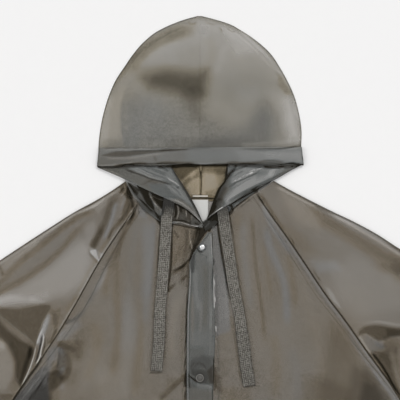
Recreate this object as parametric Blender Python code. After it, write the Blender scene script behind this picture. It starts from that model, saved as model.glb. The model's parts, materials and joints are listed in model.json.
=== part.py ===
"""A hooded raincoat of thin translucent film, laid flat, face up, with its sleeves spread.

Every cut piece is a thin wall with its own object. Lengths are in millimetres from the
crossing of the centre front and the neck line: x runs to the viewer's right, y towards the
hood and z up from the surface that the coat lies on. The empty "coat" carries all the
pieces, and its place puts the origin under the middle of the coat's box.
"""
import math
from collections import namedtuple

import bmesh
import bpy
from mathutils import Vector

MM = 0.001

# Driving sizes
WALL = 1.0                 # film panel, welded and pressed flat
CASING_WALL = 1.6          # doubled film round the hood opening
CORD_WALL = 1.5            # flat webbing
GAP = 0.3                  # clearance between neighbouring pieces
CORD_WIDTH = 17.5
HEM_Y = -995.0
HOOD_PEAK_Y = 285.5
FRONT_UNDERLAP = 14.0      # how far the left front runs on under the placket
SNAP_RADIUS = 6.2
SNAP_HEIGHT = 1.6
EYELET_RADIUS = 3.6
EYELET_HOLE = 1.6
EYELET_HEIGHT = 1.1
EYELET_SEAT = 5.5

# Heights of the middle of each wall above the surface
FLOOR_MID = WALL / 2
SIDE_SEAM_MID = FLOOR_MID + WALL + GAP
UPPER_MID = 3.1
OVERLAP_MID = UPPER_MID + WALL + GAP
PLACKET_MID = OVERLAP_MID + WALL + GAP
CROWN_MID = 5.4
CASING_MID = 5.7

Point = namedtuple("Point", "x y")
Station = namedtuple("Station", "top_x top_y seam_x seam_y back_lead")
Side = namedtuple("Side", "x y")
Slice = namedtuple("Slice", "y left_x right_x")
Turn = namedtuple("Turn", "neck_x neck_y roll_x roll_y edge_x edge_y under_z neck_z edge_z")
Fold = namedtuple("Fold", "x0 y0 x1 y1 width height")
Band = namedtuple("Band", "y left_x right_x")

# Sleeves: a point of the shoulder fold, its partner on the raglan or underarm seam, and how
# far the back raglan seam lies inside the front one. The tube closes at the underarm row.
UNDERARM_ROW = 8
SLEEVES = {
    "left": (
        Station(-115.5, 29.0, -97.7, -7.8, 12.0),
        Station(-140.0, 14.0, -117.0, -36.6, 12.0),
        Station(-161.7, 0.8, -136.4, -64.6, 12.0),
        Station(-192.8, -17.2, -160.5, -103.0, 15.0),
        Station(-235.9, -44.6, -190.0, -156.0, 18.0),
        Station(-272.9, -67.7, -220.0, -206.5, 15.0),
        Station(-310.0, -93.6, -252.0, -254.0, 11.0),
        Station(-360.0, -126.7, -288.3, -306.9, 6.0),
        Station(-410.0, -159.7, -317.8, -356.5, 0.0),
        Station(-500.0, -219.2, -400.0, -389.0, 0.0),
        Station(-610.0, -291.9, -520.0, -437.0, 0.0),
        Station(-719.0, -364.0, -640.0, -485.6, 0.0),
    ),
    "right": (
        Station(114.1, 29.5, 87.4, 9.3, -8.0),
        Station(139.5, 15.5, 110.1, -23.3, -10.0),
        Station(177.6, -5.1, 137.2, -61.3, -12.0),
        Station(210.2, -23.1, 163.6, -100.3, -15.0),
        Station(237.3, -34.6, 195.3, -147.7, -16.0),
        Station(274.4, -54.1, 228.5, -192.0, -14.0),
        Station(310.0, -75.3, 258.1, -234.1, -11.0),
        Station(362.0, -104.8, 295.0, -285.0, -6.0),
        Station(412.0, -133.1, 330.0, -340.0, 0.0),
        Station(500.0, -182.9, 405.0, -368.0, 0.0),
        Station(620.0, -250.9, 535.0, -407.0, 0.0),
        Station(742.0, -320.0, 671.0, -446.0, 0.0),
    ),
}
SLEEVE_WALL_COLUMNS = 8
SLEEVE_ARC_STEPS = 4

# Side seams from below the underarm to the hem
SIDE_SEAMS = {
    "left": (Side(-321, -430), Side(-324, -520), Side(-328, -615), Side(-332, -710),
             Side(-336, -805), Side(-340, -900), Side(-345, HEM_Y + 6)),
    "right": (Side(334, -430), Side(337, -520), Side(340, -615), Side(343, -710),
              Side(346, -805), Side(349, -900), Side(352, HEM_Y + 6)),
}
HEM_DROP = 6.0             # the hem hangs this much lower at the centre than at the side seams
BACK_COLUMNS = 14
FRONT_COLUMNS = 13
FRONT_SPACING = 1.15       # over 1 sets the columns closer together near the centre front

# Centre-front heights that pair with the raglan and side-seam rows of the fronts
CENTRE_ROWS_Y = (-41.0, -72.0, -100.0, -132.0, -170.0, -215.0, -262.0, -315.0, -372.0,
                 -440.0, -525.0, -618.0, -712.0, -807.0, -902.0, HEM_Y)
LEFT_NECK_DIP = 15.0       # how far the left neck seam sags below the line between its ends
RIGHT_NECK_DIP = 4.0
NECK_FADE_ROWS = 3

# Placket: left and right edges of the band, from its turned top corner to the hem
PLACKET = (
    Band(-50.0, 11.5, 19.0), Band(-60.0, 5.0, 19.4), Band(-72.0, -3.2, 19.6),
    Band(-84.0, -11.0, 19.8), Band(-97.0, -16.4, 20.2), Band(-132.0, -17.4, 22.0),
    Band(-170.0, -20.0, 23.4), Band(-215.0, -20.9, 23.6), Band(-262.0, -21.0, 21.6),
    Band(-315.0, -20.8, 20.0), Band(-372.0, -20.4, 20.6), Band(-440.0, -20.0, 21.4),
    Band(-525.0, -20.2, 21.8), Band(-618.0, -20.8, 21.2), Band(-712.0, -20.2, 21.0),
    Band(-807.0, -20.0, 21.6), Band(-902.0, -20.4, 21.4), Band(HEM_Y + 0.8, -20.0, 21.2),
)
PLACKET_COLUMNS = 4
SNAPS = (Point(3.6, -72.9), Point(-0.2, -275.6), Point(0.6, -478.0), Point(0.2, -680.0),
         Point(0.6, -882.0))
RAMP_START_X = 26.0        # the right front comes down from the overlap between these
RAMP_END_X = 50.0

# Hood: outline slices from the back neck to the peak
HOOD_SLICES = (
    Slice(3.6, -82.0, 77.0), Slice(26.0, -100.0, 98.0), Slice(50.0, -156.5, 158.5),
    Slice(82.0, -156.0, 157.0), Slice(108.0, -153.0, 155.2), Slice(139.0, -147.0, 151.3),
    Slice(163.0, -140.0, 145.0), Slice(187.0, -129.0, 134.5), Slice(208.0, -115.0, 122.5),
    Slice(228.0, -101.0, 108.0), Slice(246.0, -84.0, 89.5), Slice(263.0, -63.0, 65.0),
    Slice(274.0, -39.0, 44.0), Slice(281.0, -18.0, 20.0), Slice(HOOD_PEAK_Y, -4.0, 2.5),
)
CROWN_FIRST_SLICE = 3      # the crown starts at the casing's stitch line
HOOD_HALF_COLUMNS = 6
CROWN_COLUMNS = 14
CENTRE_BACK_X = 0.0
CASING_TOP_Y = 81.5
CASING_BOTTOM_Y = 54.0
CASING_REACH = (-157.5, 159.5)
CASING_COLUMNS = 16

# The hood's sides, turned outwards over the neck: the neck edge of the layer below, the
# rolled fold, the free edge of the layer on top, and heights of the walls' middles
TURNS = {
    "left": (
        Turn(-135.0, 74.0, -46.0, 78.0, -148.0, 72.0, 1.8, 1.8, 3.8),
        Turn(-146.0, 52.0, -42.2, 53.0, -156.5, 51.0, 1.8, 1.9, 3.9),
        Turn(-120.0, 36.0, -35.5, 38.0, -133.0, 38.5, 2.4, 4.5, 6.4),
        Turn(-112.0, 22.0, -29.5, 25.3, -107.7, 25.3, 3.1, 4.5, 6.4),
        Turn(-97.0, -2.0, -21.0, 11.0, -89.0, 16.0, 3.1, 4.5, 6.6),
        Turn(-84.0, -15.0, -12.9, -3.1, -72.1, 8.7, 3.1, 4.5, 7.4),
        Turn(-58.0, -33.5, -5.0, -18.0, -46.0, -0.8, 3.1, 4.5, 8.8),
        Turn(-30.0, -34.0, 0.0, -27.0, -20.2, -17.0, 3.3, 4.5, 7.2),
        Turn(-6.0, -41.5, 2.6, -35.5, -4.0, -31.0, 3.6, 4.5, 6.4),
    ),
    "right": (
        Turn(135.0, 74.0, 46.0, 78.0, 148.0, 72.0, 1.8, 1.8, 3.8),
        Turn(148.0, 52.0, 41.5, 53.0, 158.5, 51.5, 1.8, 1.9, 3.9),
        Turn(120.0, 36.0, 39.5, 38.0, 138.0, 40.0, 2.4, 4.5, 6.4),
        Turn(111.0, 22.0, 37.0, 25.3, 112.0, 24.5, 3.1, 4.7, 6.6),
        Turn(90.0, 6.5, 31.0, 11.0, 86.8, 12.4, 3.1, 4.7, 6.8),
        Turn(68.0, -6.0, 22.8, -3.1, 66.0, 0.5, 3.1, 4.5, 7.8),
        Turn(47.0, -20.0, 14.5, -18.0, 40.0, -14.0, 3.1, 4.7, 9.6),
        Turn(31.0, -32.0, 10.0, -26.5, 22.0, -25.0, 3.3, 5.7, 9.5),
        Turn(17.5, -43.0, 8.4, -35.5, 12.0, -34.0, 3.9, 5.8, 8.0),
    ),
}
TURN_UNDER_COLUMNS = 5
TURN_ARC_STEPS = 6
TURN_TOP_COLUMNS = 6
ROLL_RADIUS = (1.0, 1.1, 2.2, 3.2, 3.8, 4.0, 3.8, 3.0, 1.6)

# Soft folds of the upper layers, as ridges from one point to another
FOLDS = {
    "sleeve_left": (
        Fold(-150, -15, -172, -72, 16, 2.5), Fold(-232, -175, -262, -262, 22, 4.0),
        Fold(-300, -170, -282, -262, 24, 3.0), Fold(-420, -215, -350, -330, 30, 3.0),
        Fold(-560, -300, -500, -395, 34, 2.5),
    ),
    "sleeve_right": (
        Fold(262, -205, 330, -195, 20, 3.5), Fold(270, -90, 250, -170, 26, 2.0),
        Fold(410, -190, 350, -290, 30, 3.0), Fold(560, -255, 500, -355, 34, 2.5),
    ),
    "front_left": (
        Fold(-110, -120, -125, -420, 26, 1.8), Fold(-210, -330, -190, -640, 34, 2.4),
        Fold(-120, -560, -110, -900, 34, 2.0), Fold(-260, -560, -255, -900, 30, 1.6),
    ),
    "front_right": (
        Fold(112, -90, 118, -400, 26, 1.8), Fold(205, -330, 190, -640, 34, 2.2),
        Fold(120, -560, 125, -900, 34, 2.0), Fold(265, -560, 262, -900, 30, 1.6),
    ),
}

# Drawcords: hand-set routes of the free ends, from under the turned-out edge to the cut end
CORD_ROUTES = {
    "left": (
        Point(-47.6, 6.0), Point(-48.2, -3.0), Point(-49.6, -13.5), Point(-51.2, -24.8),
        Point(-52.4, -45.0), Point(-53.9, -65.9), Point(-55.2, -86.5), Point(-56.6, -107.0),
        Point(-58.4, -128.0), Point(-60.1, -148.8), Point(-62.0, -172.0),
        Point(-62.9, -196.0), Point(-63.7, -220.9), Point(-65.6, -243.0),
        Point(-67.7, -265.1),
    ),
    "right": (
        Point(32.6, -8.5), Point(34.9, -17.0), Point(37.2, -33.0), Point(40.0, -52.1),
        Point(42.9, -72.0), Point(46.2, -93.0), Point(49.3, -114.5), Point(52.7, -136.4),
        Point(57.0, -158.0), Point(61.4, -179.3), Point(64.2, -200.0),
        Point(66.7, -220.9), Point(69.3, -241.5), Point(71.8, -262.0),
        Point(74.0, -275.0), Point(76.3, -288.3),
    ),
}
CORD_NECK_MID = {"left": 6.5, "right": 7.6}    # height where a cord crosses the neck edge
CORD_NECK_Y = -30.0                            # and where it starts to come down on the front
CORD_FRONT_Y = -56.0
CORD_CLEARANCE = 0.5

LABEL = Band(-16.5, -14.6, 12.7)
LABEL_HEIGHT = 34.0
HANGER_TAPE = Band(6.6, -11.3, 12.4)
HANGER_TAPE_HEIGHT = 3.8
EYELET = Point(48.0, -13.2)

COLOURS = {
    "film": ((0.20, 0.185, 0.165, 1.0), 0.35, 0.0),
    "casing": ((0.17, 0.175, 0.175, 1.0), 0.35, 0.0),
    "webbing": ((0.15, 0.145, 0.135, 1.0), 0.85, 0.0),
    "label": ((0.72, 0.72, 0.72, 1.0), 0.7, 0.0),
    "snap": ((0.45, 0.45, 0.44, 1.0), 0.3, 0.9),
}


def clear_scene():
    """Remove every object that the scene starts with."""
    for item in list(bpy.data.objects):
        bpy.data.objects.remove(item, do_unlink=True)


def finish(name):
    """Return a Principled material with the colour, roughness and metallic value of a finish."""
    if name in bpy.data.materials:
        return bpy.data.materials[name]
    colour, roughness, metallic = COLOURS[name]
    material = bpy.data.materials.new(name)
    material.use_nodes = True
    shader = material.node_tree.nodes["Principled BSDF"]
    shader.inputs["Base Color"].default_value = colour
    shader.inputs["Roughness"].default_value = roughness
    shader.inputs["Metallic"].default_value = metallic
    return material


def add_object(name, bm, material_name, coat):
    """Turn a bmesh into an object with a finish, carried by the coat's empty."""
    mesh = bpy.data.meshes.new(name)
    bm.to_mesh(mesh)
    bm.free()
    mesh.materials.append(finish(material_name))
    mesh.shade_smooth()
    piece = bpy.data.objects.new(name, mesh)
    bpy.context.collection.objects.link(piece)
    piece.parent = coat
    return piece


def add_panel(name, rows, wall, material_name, coat):
    """Build a wall of even thickness about a grid of middle points, in millimetres."""
    bm = bmesh.new()
    bmesh.ops.create_grid(bm, x_segments=len(rows[0]) - 1, y_segments=len(rows) - 1, size=1.0)
    points = [point for row in rows for point in row]
    for vertex, point in zip(bm.verts, points):
        vertex.co = Vector(point) * MM
    bmesh.ops.remove_doubles(bm, verts=bm.verts, dist=0.00001)
    piece = add_object(name, bm, material_name, coat)
    solidify = piece.modifiers.new("wall", "SOLIDIFY")
    solidify.thickness = wall * MM
    solidify.offset = 0.0
    return piece


def mix(start, end, share):
    """Return the value that lies a share of the way from start to end."""
    return start + (end - start) * share


def smooth(value):
    """Return a soft 0 to 1 step."""
    value = min(max(value, 0.0), 1.0)
    return value * value * (3.0 - 2.0 * value)


def fold_height(x, y, folds):
    """Return how far the ridges near a point lift a wall."""
    lift = 0.0
    for fold in folds:
        along_x, along_y = fold.x1 - fold.x0, fold.y1 - fold.y0
        length_squared = along_x ** 2 + along_y ** 2
        share = ((x - fold.x0) * along_x + (y - fold.y0) * along_y) / length_squared
        across = abs((x - fold.x0) * along_y - (y - fold.y0) * along_x) / math.sqrt(length_squared)
        if 0.0 < share < 1.0 and across < fold.width:
            ends = math.sin(math.pi * share) ** 0.5
            lift += fold.height * ends * math.cos(math.pi * across / fold.width / 2) ** 2
    return lift


def torso_rails(side, seam_gap, use_back):
    """Return the raglan and side-seam points of one side, from the neck to the hem."""
    inward = seam_gap if side == "left" else -seam_gap
    rail = []
    for station in SLEEVES[side][:UNDERARM_ROW + 1]:
        lead = station.back_lead if use_back else 0.0
        rail.append(Point(station.seam_x + lead + inward, station.seam_y))
    rail += [Point(*row) for row in SIDE_SEAMS[side]]
    return rail


def back_panel(coat):
    """The back: flat on the surface between the back raglan seams and the side seams."""
    left = torso_rails("left", 1.5 * GAP, True)
    right = torso_rails("right", 1.5 * GAP, True)
    rows = []
    for row, (start, end) in enumerate(zip(left, right)):
        drop = HEM_DROP * smooth(row - len(left) + 2)
        points = []
        for column in range(BACK_COLUMNS + 1):
            share = column / BACK_COLUMNS
            sag = drop * math.sin(math.pi * share)
            points.append((mix(start.x, end.x, share), mix(start.y, end.y, share) - sag, FLOOR_MID))
        rows.append(points)
    return add_panel("back", rows, WALL, "film", coat)


def overlap_lift(x):
    """Return how far the right front stands over the left one near the centre front."""
    return (OVERLAP_MID - UPPER_MID) * min(max((RAMP_END_X - x) / (RAMP_END_X - RAMP_START_X), 0.0), 1.0)


def front_height(side, x, y, to_side):
    """Return the middle height of a front; to_side is 1 at the side seam below the underarm."""
    height = UPPER_MID + fold_height(x, y, FOLDS["front_" + side])
    if side == "right":
        height += overlap_lift(x)
    return mix(height, SIDE_SEAM_MID, smooth((to_side - 0.86) / 0.14))


def front_panel(side, coat):
    """A front: from its raglan and side seam to its edge at the centre front."""
    outer = torso_rails(side, 1.5 * GAP, False)
    if side == "left":
        centre = [Point(FRONT_UNDERLAP, y) for y in CENTRE_ROWS_Y]
        dip = LEFT_NECK_DIP
    else:
        centre = [Point(placket_edge(y), y) for y in CENTRE_ROWS_Y]
        centre[0] = Point(13.0, -50.0)
        dip = RIGHT_NECK_DIP
    last = len(outer) - 1
    rows = []
    for row, (seam, edge) in enumerate(zip(outer, centre)):
        below_underarm = 1.0 if row > UNDERARM_ROW else 0.0
        neck = dip * smooth(1.0 - row / NECK_FADE_ROWS)
        drop = HEM_DROP * smooth(row - last + 1)
        points = []
        for column in range(FRONT_COLUMNS + 1):
            share = (column / FRONT_COLUMNS) ** FRONT_SPACING
            x = mix(edge.x, seam.x, share)
            sag = neck * math.sin(math.pi * share) - drop * (1.0 - math.cos(math.pi * share / 2)) * 0.3
            y = mix(edge.y, seam.y, share) - sag
            points.append((x, y, front_height(side, x, y, share * below_underarm)))
        rows.append(points)
    return add_panel("front_" + side, rows, WALL, "film", coat)


def placket_edge(y):
    """Return the x of the placket's free edge at a height on the coat."""
    for upper, lower in zip(PLACKET, PLACKET[1:]):
        if upper.y >= y >= lower.y:
            return mix(upper.left_x, lower.left_x, (upper.y - y) / (upper.y - lower.y))
    return PLACKET[0].left_x if y > PLACKET[0].y else PLACKET[-1].left_x


def placket(coat):
    """The band of doubled film that closes the centre front, on the right front's edge."""
    rows = []
    for band in PLACKET:
        rows.append([(mix(band.left_x, band.right_x, column / PLACKET_COLUMNS), band.y, PLACKET_MID)
                     for column in range(PLACKET_COLUMNS + 1)])
    return add_panel("placket", rows, WALL, "casing", coat)


def sleeve(side, coat):
    """A raglan sleeve: a flattened tube, open along the raglan seams and at the cuff."""
    folds = FOLDS["sleeve_" + side]
    radius = (UPPER_MID - FLOOR_MID) / 2
    fold_centre = FLOOR_MID + radius
    rows = []
    for row, station in enumerate(SLEEVES[side]):
        closed = row >= UNDERARM_ROW
        top = Vector((station.top_x, station.top_y))
        front_seam = Vector((station.seam_x, station.seam_y))
        back_seam = front_seam + Vector((station.back_lead, 0.0))
        up = (top - front_seam).normalized()
        arc_centre = top - up * (radius + WALL / 2)
        back_end = back_seam + up * (radius if closed else 0.0)
        front_end = front_seam + up * (radius if closed else 0.0)
        points = []
        if closed:
            points.append((*(front_seam + up * WALL / 2), fold_centre))
        else:
            points.append((*back_seam, FLOOR_MID))
        for column in range(SLEEVE_WALL_COLUMNS):
            place = back_end.lerp(arc_centre, (column + 1) / (SLEEVE_WALL_COLUMNS + 1))
            points.append((*place, FLOOR_MID))
        for step in range(SLEEVE_ARC_STEPS + 1):
            angle = math.pi * step / SLEEVE_ARC_STEPS - math.pi / 2
            place = arc_centre + up * radius * math.cos(angle)
            points.append((*place, fold_centre + radius * math.sin(angle)))
        for column in range(SLEEVE_WALL_COLUMNS):
            place = arc_centre.lerp(front_end, (column + 1) / (SLEEVE_WALL_COLUMNS + 1))
            points.append((*place, UPPER_MID + fold_height(place.x, place.y, folds)))
        if closed:
            points.append((*(front_seam + up * WALL / 2), fold_centre))
        else:
            points.append((*front_seam, UPPER_MID))
        rows.append(points)
    return add_panel("sleeve_" + side, rows, WALL, "film", coat)


def hood_back(side, coat):
    """Half of the hood's back, flat on the surface between the centre-back seam and its outline."""
    seam_x = CENTRE_BACK_X - GAP / 2 if side == "left" else CENTRE_BACK_X + GAP / 2
    rows = []
    for piece in HOOD_SLICES:
        outer_x = piece.left_x if side == "left" else piece.right_x
        neck_lift = 8.0 * smooth((11.0 - piece.y) / 8.0)
        points = []
        for column in range(HOOD_HALF_COLUMNS + 1):
            share = column / HOOD_HALF_COLUMNS
            points.append((mix(seam_x, outer_x, share), piece.y + neck_lift * share ** 2, FLOOR_MID))
        rows.append(points)
    return add_panel("hood_back_" + side, rows, WALL, "film", coat)


def hood_crown(coat):
    """The hood's upper layer, from the casing's stitch line to the peak."""
    rows = []
    for piece in HOOD_SLICES[CROWN_FIRST_SLICE:]:
        points = []
        rise = smooth((HOOD_PEAK_Y - piece.y) / 45.0)
        for column in range(CROWN_COLUMNS + 1):
            share = column / CROWN_COLUMNS
            x = mix(piece.left_x, piece.right_x, share)
            inside = smooth(min(x - piece.left_x, piece.right_x - x) / 30.0)
            points.append((x, piece.y, mix(SIDE_SEAM_MID, CROWN_MID, inside * rise)))
        rows.append(points)
    return add_panel("hood_crown", rows, WALL, "film", coat)


def hood_casing(coat):
    """The casing of doubled film across the front edge of the hood."""
    rows = []
    left_x, right_x = CASING_REACH
    for y in (CASING_BOTTOM_Y, mix(CASING_BOTTOM_Y, CASING_TOP_Y, 0.5), CASING_TOP_Y):
        points = []
        for column in range(CASING_COLUMNS + 1):
            x = mix(left_x, right_x, column / CASING_COLUMNS)
            points.append((x, y, CASING_MID))
        rows.append(points)
    return add_panel("hood_casing", rows, CASING_WALL, "casing", coat)


def hood_side(side, coat):
    """A side of the hood: a layer from the neck edge, rolled over and turned outwards."""
    rows = []
    for turn, radius in zip(TURNS[side], ROLL_RADIUS):
        neck = Vector((turn.neck_x, turn.neck_y))
        roll = Vector((turn.roll_x, turn.roll_y))
        edge = Vector((turn.edge_x, turn.edge_y))
        inward = (roll - (neck + edge) / 2).normalized()
        centre = roll - inward * (radius + WALL / 2)
        points = []
        for column in range(TURN_UNDER_COLUMNS):
            share = column / TURN_UNDER_COLUMNS
            place = neck.lerp(centre, share)
            points.append((*place, mix(turn.neck_z, turn.under_z, smooth(share * 1.5))))
        for step in range(TURN_ARC_STEPS + 1):
            angle = math.pi * step / TURN_ARC_STEPS - math.pi / 2
            place = centre + inward * radius * math.cos(angle)
            points.append((*place, turn.under_z + radius * (1.0 + math.sin(angle))))
        top_z = turn.under_z + 2 * radius
        for column in range(TURN_TOP_COLUMNS):
            share = (column + 1) / TURN_TOP_COLUMNS
            place = centre.lerp(edge, share)
            points.append((*place, mix(top_z, turn.edge_z, smooth(share))))
        rows.append(points)
    return add_panel("hood_side_" + side, rows, WALL, "casing", coat)


def drawcord(side, coat):
    """The free end of the flat drawcord, from under the turned-out edge down the front."""
    route = CORD_ROUTES[side]
    rows = []
    for index, point in enumerate(route):
        before = route[max(index - 1, 0)]
        after = route[min(index + 1, len(route) - 1)]
        along = Vector((after.x - before.x, after.y - before.y)).normalized()
        across = Vector((-along.y, along.x)) * CORD_WIDTH / 2
        share = smooth((CORD_NECK_Y - point.y) / (CORD_NECK_Y - CORD_FRONT_Y))
        points = []
        for reach in (-1.0, -0.5, 0.0, 0.5, 1.0):
            x, y = point.x + across.x * reach, point.y + across.y * reach
            on_front = front_height(side, x, y, 0.0) + (WALL + CORD_WALL) / 2 + CORD_CLEARANCE
            points.append((x, y, mix(CORD_NECK_MID[side], on_front, share)))
        rows.append(points)
    return add_panel("drawcord_" + side, rows, CORD_WALL, "webbing", coat)


def small_patch(name, band, height, middle_z, material_name, coat):
    """A small rectangle of tape or label, with its corners nipped."""
    rows = []
    for share in (-0.5, -0.44, 0.0, 0.44, 0.5):
        inset = 1.2 if abs(share) == 0.5 else 0.0
        rows.append([(mix(band.left_x + inset, band.right_x - inset, column / 3),
                      band.y + share * height, middle_z) for column in range(4)])
    return add_panel(name, rows, WALL, material_name, coat)


def snap(number, place, coat):
    """The cap of one closed snap fastener on the placket."""
    bm = bmesh.new()
    bmesh.ops.create_cone(bm, cap_ends=True, segments=24, radius1=SNAP_RADIUS * MM,
                          radius2=SNAP_RADIUS * 0.86 * MM, depth=SNAP_HEIGHT * MM)
    bottom = PLACKET_MID + WALL / 2 + GAP
    bmesh.ops.translate(bm, verts=bm.verts,
                        vec=Vector((place.x, place.y, bottom + SNAP_HEIGHT / 2)) * MM)
    return add_object(f"snap_{number}", bm, "snap", coat)


def eyelet(coat):
    """The metal eyelet that the right drawcord comes out of, on the hood's neck edge."""
    bm = bmesh.new()
    profile = ((EYELET_HOLE, 0.0), (EYELET_RADIUS, 0.0), (EYELET_RADIUS, 0.5),
               (EYELET_RADIUS * 0.8, EYELET_HEIGHT), (EYELET_HOLE, EYELET_HEIGHT))
    ring = [bm.verts.new(Vector((EYELET.x + radius, EYELET.y, EYELET_SEAT + height)) * MM)
            for radius, height in profile]
    edges = [bm.edges.new((ring[index], ring[(index + 1) % len(ring)])) for index in range(len(ring))]
    bmesh.ops.spin(bm, geom=ring + edges, cent=Vector((EYELET.x, EYELET.y, 0.0)) * MM,
                   axis=(0.0, 0.0, 1.0), dvec=(0.0, 0.0, 0.0), angle=2 * math.pi, steps=20,
                   use_merge=True, use_duplicate=False)
    bmesh.ops.remove_doubles(bm, verts=bm.verts, dist=0.00001)
    bmesh.ops.recalc_face_normals(bm, faces=bm.faces)
    return add_object("cord_eyelet", bm, "snap", coat)


def centre_on_box(coat, pieces):
    """Move the coat's empty so that the origin lies under the middle of the coat's box."""
    bpy.context.view_layer.update()
    graph = bpy.context.evaluated_depsgraph_get()
    corners = []
    for piece in pieces:
        shape = piece.evaluated_get(graph)
        corners += [piece.matrix_world @ Vector(corner) for corner in shape.bound_box]
    low = [min(corner[axis] for corner in corners) for axis in range(3)]
    high = [max(corner[axis] for corner in corners) for axis in range(3)]
    coat.location = (-(low[0] + high[0]) / 2, -(low[1] + high[1]) / 2, -low[2])
    bpy.context.view_layer.update()


def main():
    """Build the coat piece by piece, from the surface up."""
    clear_scene()
    coat = bpy.data.objects.new("coat", None)
    bpy.context.collection.objects.link(coat)
    pieces = [back_panel(coat)]
    for side in ("left", "right"):
        pieces += [sleeve(side, coat), front_panel(side, coat), hood_back(side, coat),
                   hood_side(side, coat), drawcord(side, coat)]
    pieces += [placket(coat), hood_crown(coat), hood_casing(coat), eyelet(coat)]
    pieces.append(small_patch("label", LABEL, LABEL_HEIGHT, SIDE_SEAM_MID, "label", coat))
    pieces.append(small_patch("hanger_tape", HANGER_TAPE, HANGER_TAPE_HEIGHT, SIDE_SEAM_MID,
                              "label", coat))
    pieces += [snap(number, place, coat) for number, place in enumerate(SNAPS, start=1)]
    centre_on_box(coat, pieces)


main()
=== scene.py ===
"""A hooded raincoat of thin translucent film, laid flat and face up, dressed over its frame.

Tables and sizes are in millimetres from the crossing of the centre front and the neck line: x to
the viewer's right, y towards the hood and z up from the surface that the coat lies on.
"""

import json
import logging
import math
from dataclasses import dataclass
from enum import Enum
from typing import ClassVar, Sequence

import bmesh
import bpy
import numpy as np
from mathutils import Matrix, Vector

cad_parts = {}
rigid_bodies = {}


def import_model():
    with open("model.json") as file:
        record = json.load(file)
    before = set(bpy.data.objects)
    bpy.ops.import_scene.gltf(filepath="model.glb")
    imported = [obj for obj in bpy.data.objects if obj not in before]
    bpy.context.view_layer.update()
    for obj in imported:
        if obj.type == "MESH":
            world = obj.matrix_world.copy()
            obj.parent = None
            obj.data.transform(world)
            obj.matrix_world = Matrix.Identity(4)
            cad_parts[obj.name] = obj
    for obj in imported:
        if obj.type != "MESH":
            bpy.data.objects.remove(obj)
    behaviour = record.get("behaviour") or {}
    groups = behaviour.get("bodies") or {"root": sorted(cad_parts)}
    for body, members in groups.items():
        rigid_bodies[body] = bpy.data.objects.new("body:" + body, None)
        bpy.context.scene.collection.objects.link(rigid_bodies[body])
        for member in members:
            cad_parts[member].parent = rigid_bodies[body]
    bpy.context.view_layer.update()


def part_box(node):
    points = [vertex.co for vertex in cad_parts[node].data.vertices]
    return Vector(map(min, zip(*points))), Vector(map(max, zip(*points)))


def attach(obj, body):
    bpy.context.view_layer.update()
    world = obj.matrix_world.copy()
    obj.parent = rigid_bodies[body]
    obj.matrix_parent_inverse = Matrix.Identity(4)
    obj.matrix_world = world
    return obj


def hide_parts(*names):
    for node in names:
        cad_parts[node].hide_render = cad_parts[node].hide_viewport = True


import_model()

LOG = logging.getLogger("raincoat")
MM = 0.001
BODY = "root"

Colour = tuple[float, float, float]
Points = tuple[tuple[float, float], ...]

# Heights of the middle of each layer
GROUND_Z = 0.2
SEAM_Z = 0.75
UPPER_Z = 3.1
OVERLAP_Z = 4.4
PLACKET_Z = 5.7
CROWN_Z = 5.4
CASING_Z = 5.7
FILM_MM = 0.35

# How far a lapped seam lifts the upper sheet
LAP = 0.42

LABEL_MIDDLE = (-0.95, -16.5)

# Shares of a crease's length over which it starts and ends
FADE = (0.15, 0.15)

# Angles round a rolled fold
BEND = np.linspace(-math.pi / 2, math.pi / 2, 9)


class Side(Enum):
    """The two sides of the coat, as the viewer sees them."""

    LEFT = "left"
    RIGHT = "right"

    @property
    def outward(self) -> float:
        """Return the sign of x away from the centre front."""
        return -1.0 if self is Side.LEFT else 1.0


def frame_origin() -> np.ndarray:
    """Work out where the tables' zero point lies in the frame, from the label's own node.

    Returns:
        The zero point in millimetres.
    """
    low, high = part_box("label")
    middle = (low + high) / 2 / MM
    return np.array([middle.x - LABEL_MIDDLE[0], middle.y - LABEL_MIDDLE[1], 0.0])


ORIGIN = frame_origin()


# ---------------- numbers and curves


def smooth(value: np.ndarray | float) -> np.ndarray:
    """Return a soft step from 0 to 1."""
    share = np.clip(value, 0.0, 1.0)
    return share * share * (3.0 - 2.0 * share)


def mix(start: np.ndarray, end: np.ndarray, share: np.ndarray) -> np.ndarray:
    """Return what lies a share of the way from start to end."""
    return start + (end - start) * share


def fading(distance: np.ndarray, reach: float) -> np.ndarray:
    """Return 1 at no distance, with a soft fall to 0 at the reach."""
    return 1.0 - smooth(distance / reach)


def travelled(points: np.ndarray) -> np.ndarray:
    """Return the distance along a line of points at each of them."""
    return np.concatenate(([0.0], np.cumsum(np.hypot(*np.diff(points[:, :2], axis=0).T))))


def glide(knots: np.ndarray, values: np.ndarray, at: np.ndarray) -> np.ndarray:
    """Follow a smooth curve that passes through every given value.

    Args:
        knots: rising places of the given values.
        values: one row for each knot.
        at: the places to read.

    Returns:
        One row for each place.
    """
    knots = np.asarray(knots, float)
    values = np.asarray(values, float)
    flat = values.ndim == 1
    table = values.reshape(len(knots), -1)
    gaps = np.diff(knots)[:, None]
    slopes = np.diff(table, axis=0) / gaps
    tangents = np.empty_like(table)
    tangents[0], tangents[-1] = slopes[0], slopes[-1]
    tangents[1:-1] = (slopes[:-1] * gaps[1:] + slopes[1:] * gaps[:-1]) / (gaps[1:] + gaps[:-1])
    first = np.clip(np.searchsorted(knots, at, side="right") - 1, 0, len(knots) - 2)
    gap = gaps[first]
    t = np.clip((np.asarray(at, float)[:, None] - knots[first][:, None]) / gap, 0.0, 1.0)
    found = ((1 + 2 * t) * (1 - t) ** 2 * table[first] + t * (1 - t) ** 2 * gap * tangents[first]
             + t * t * (3 - 2 * t) * table[first + 1] - t * t * (1 - t) * gap * tangents[first + 1])
    return found[:, 0] if flat else found


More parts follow.
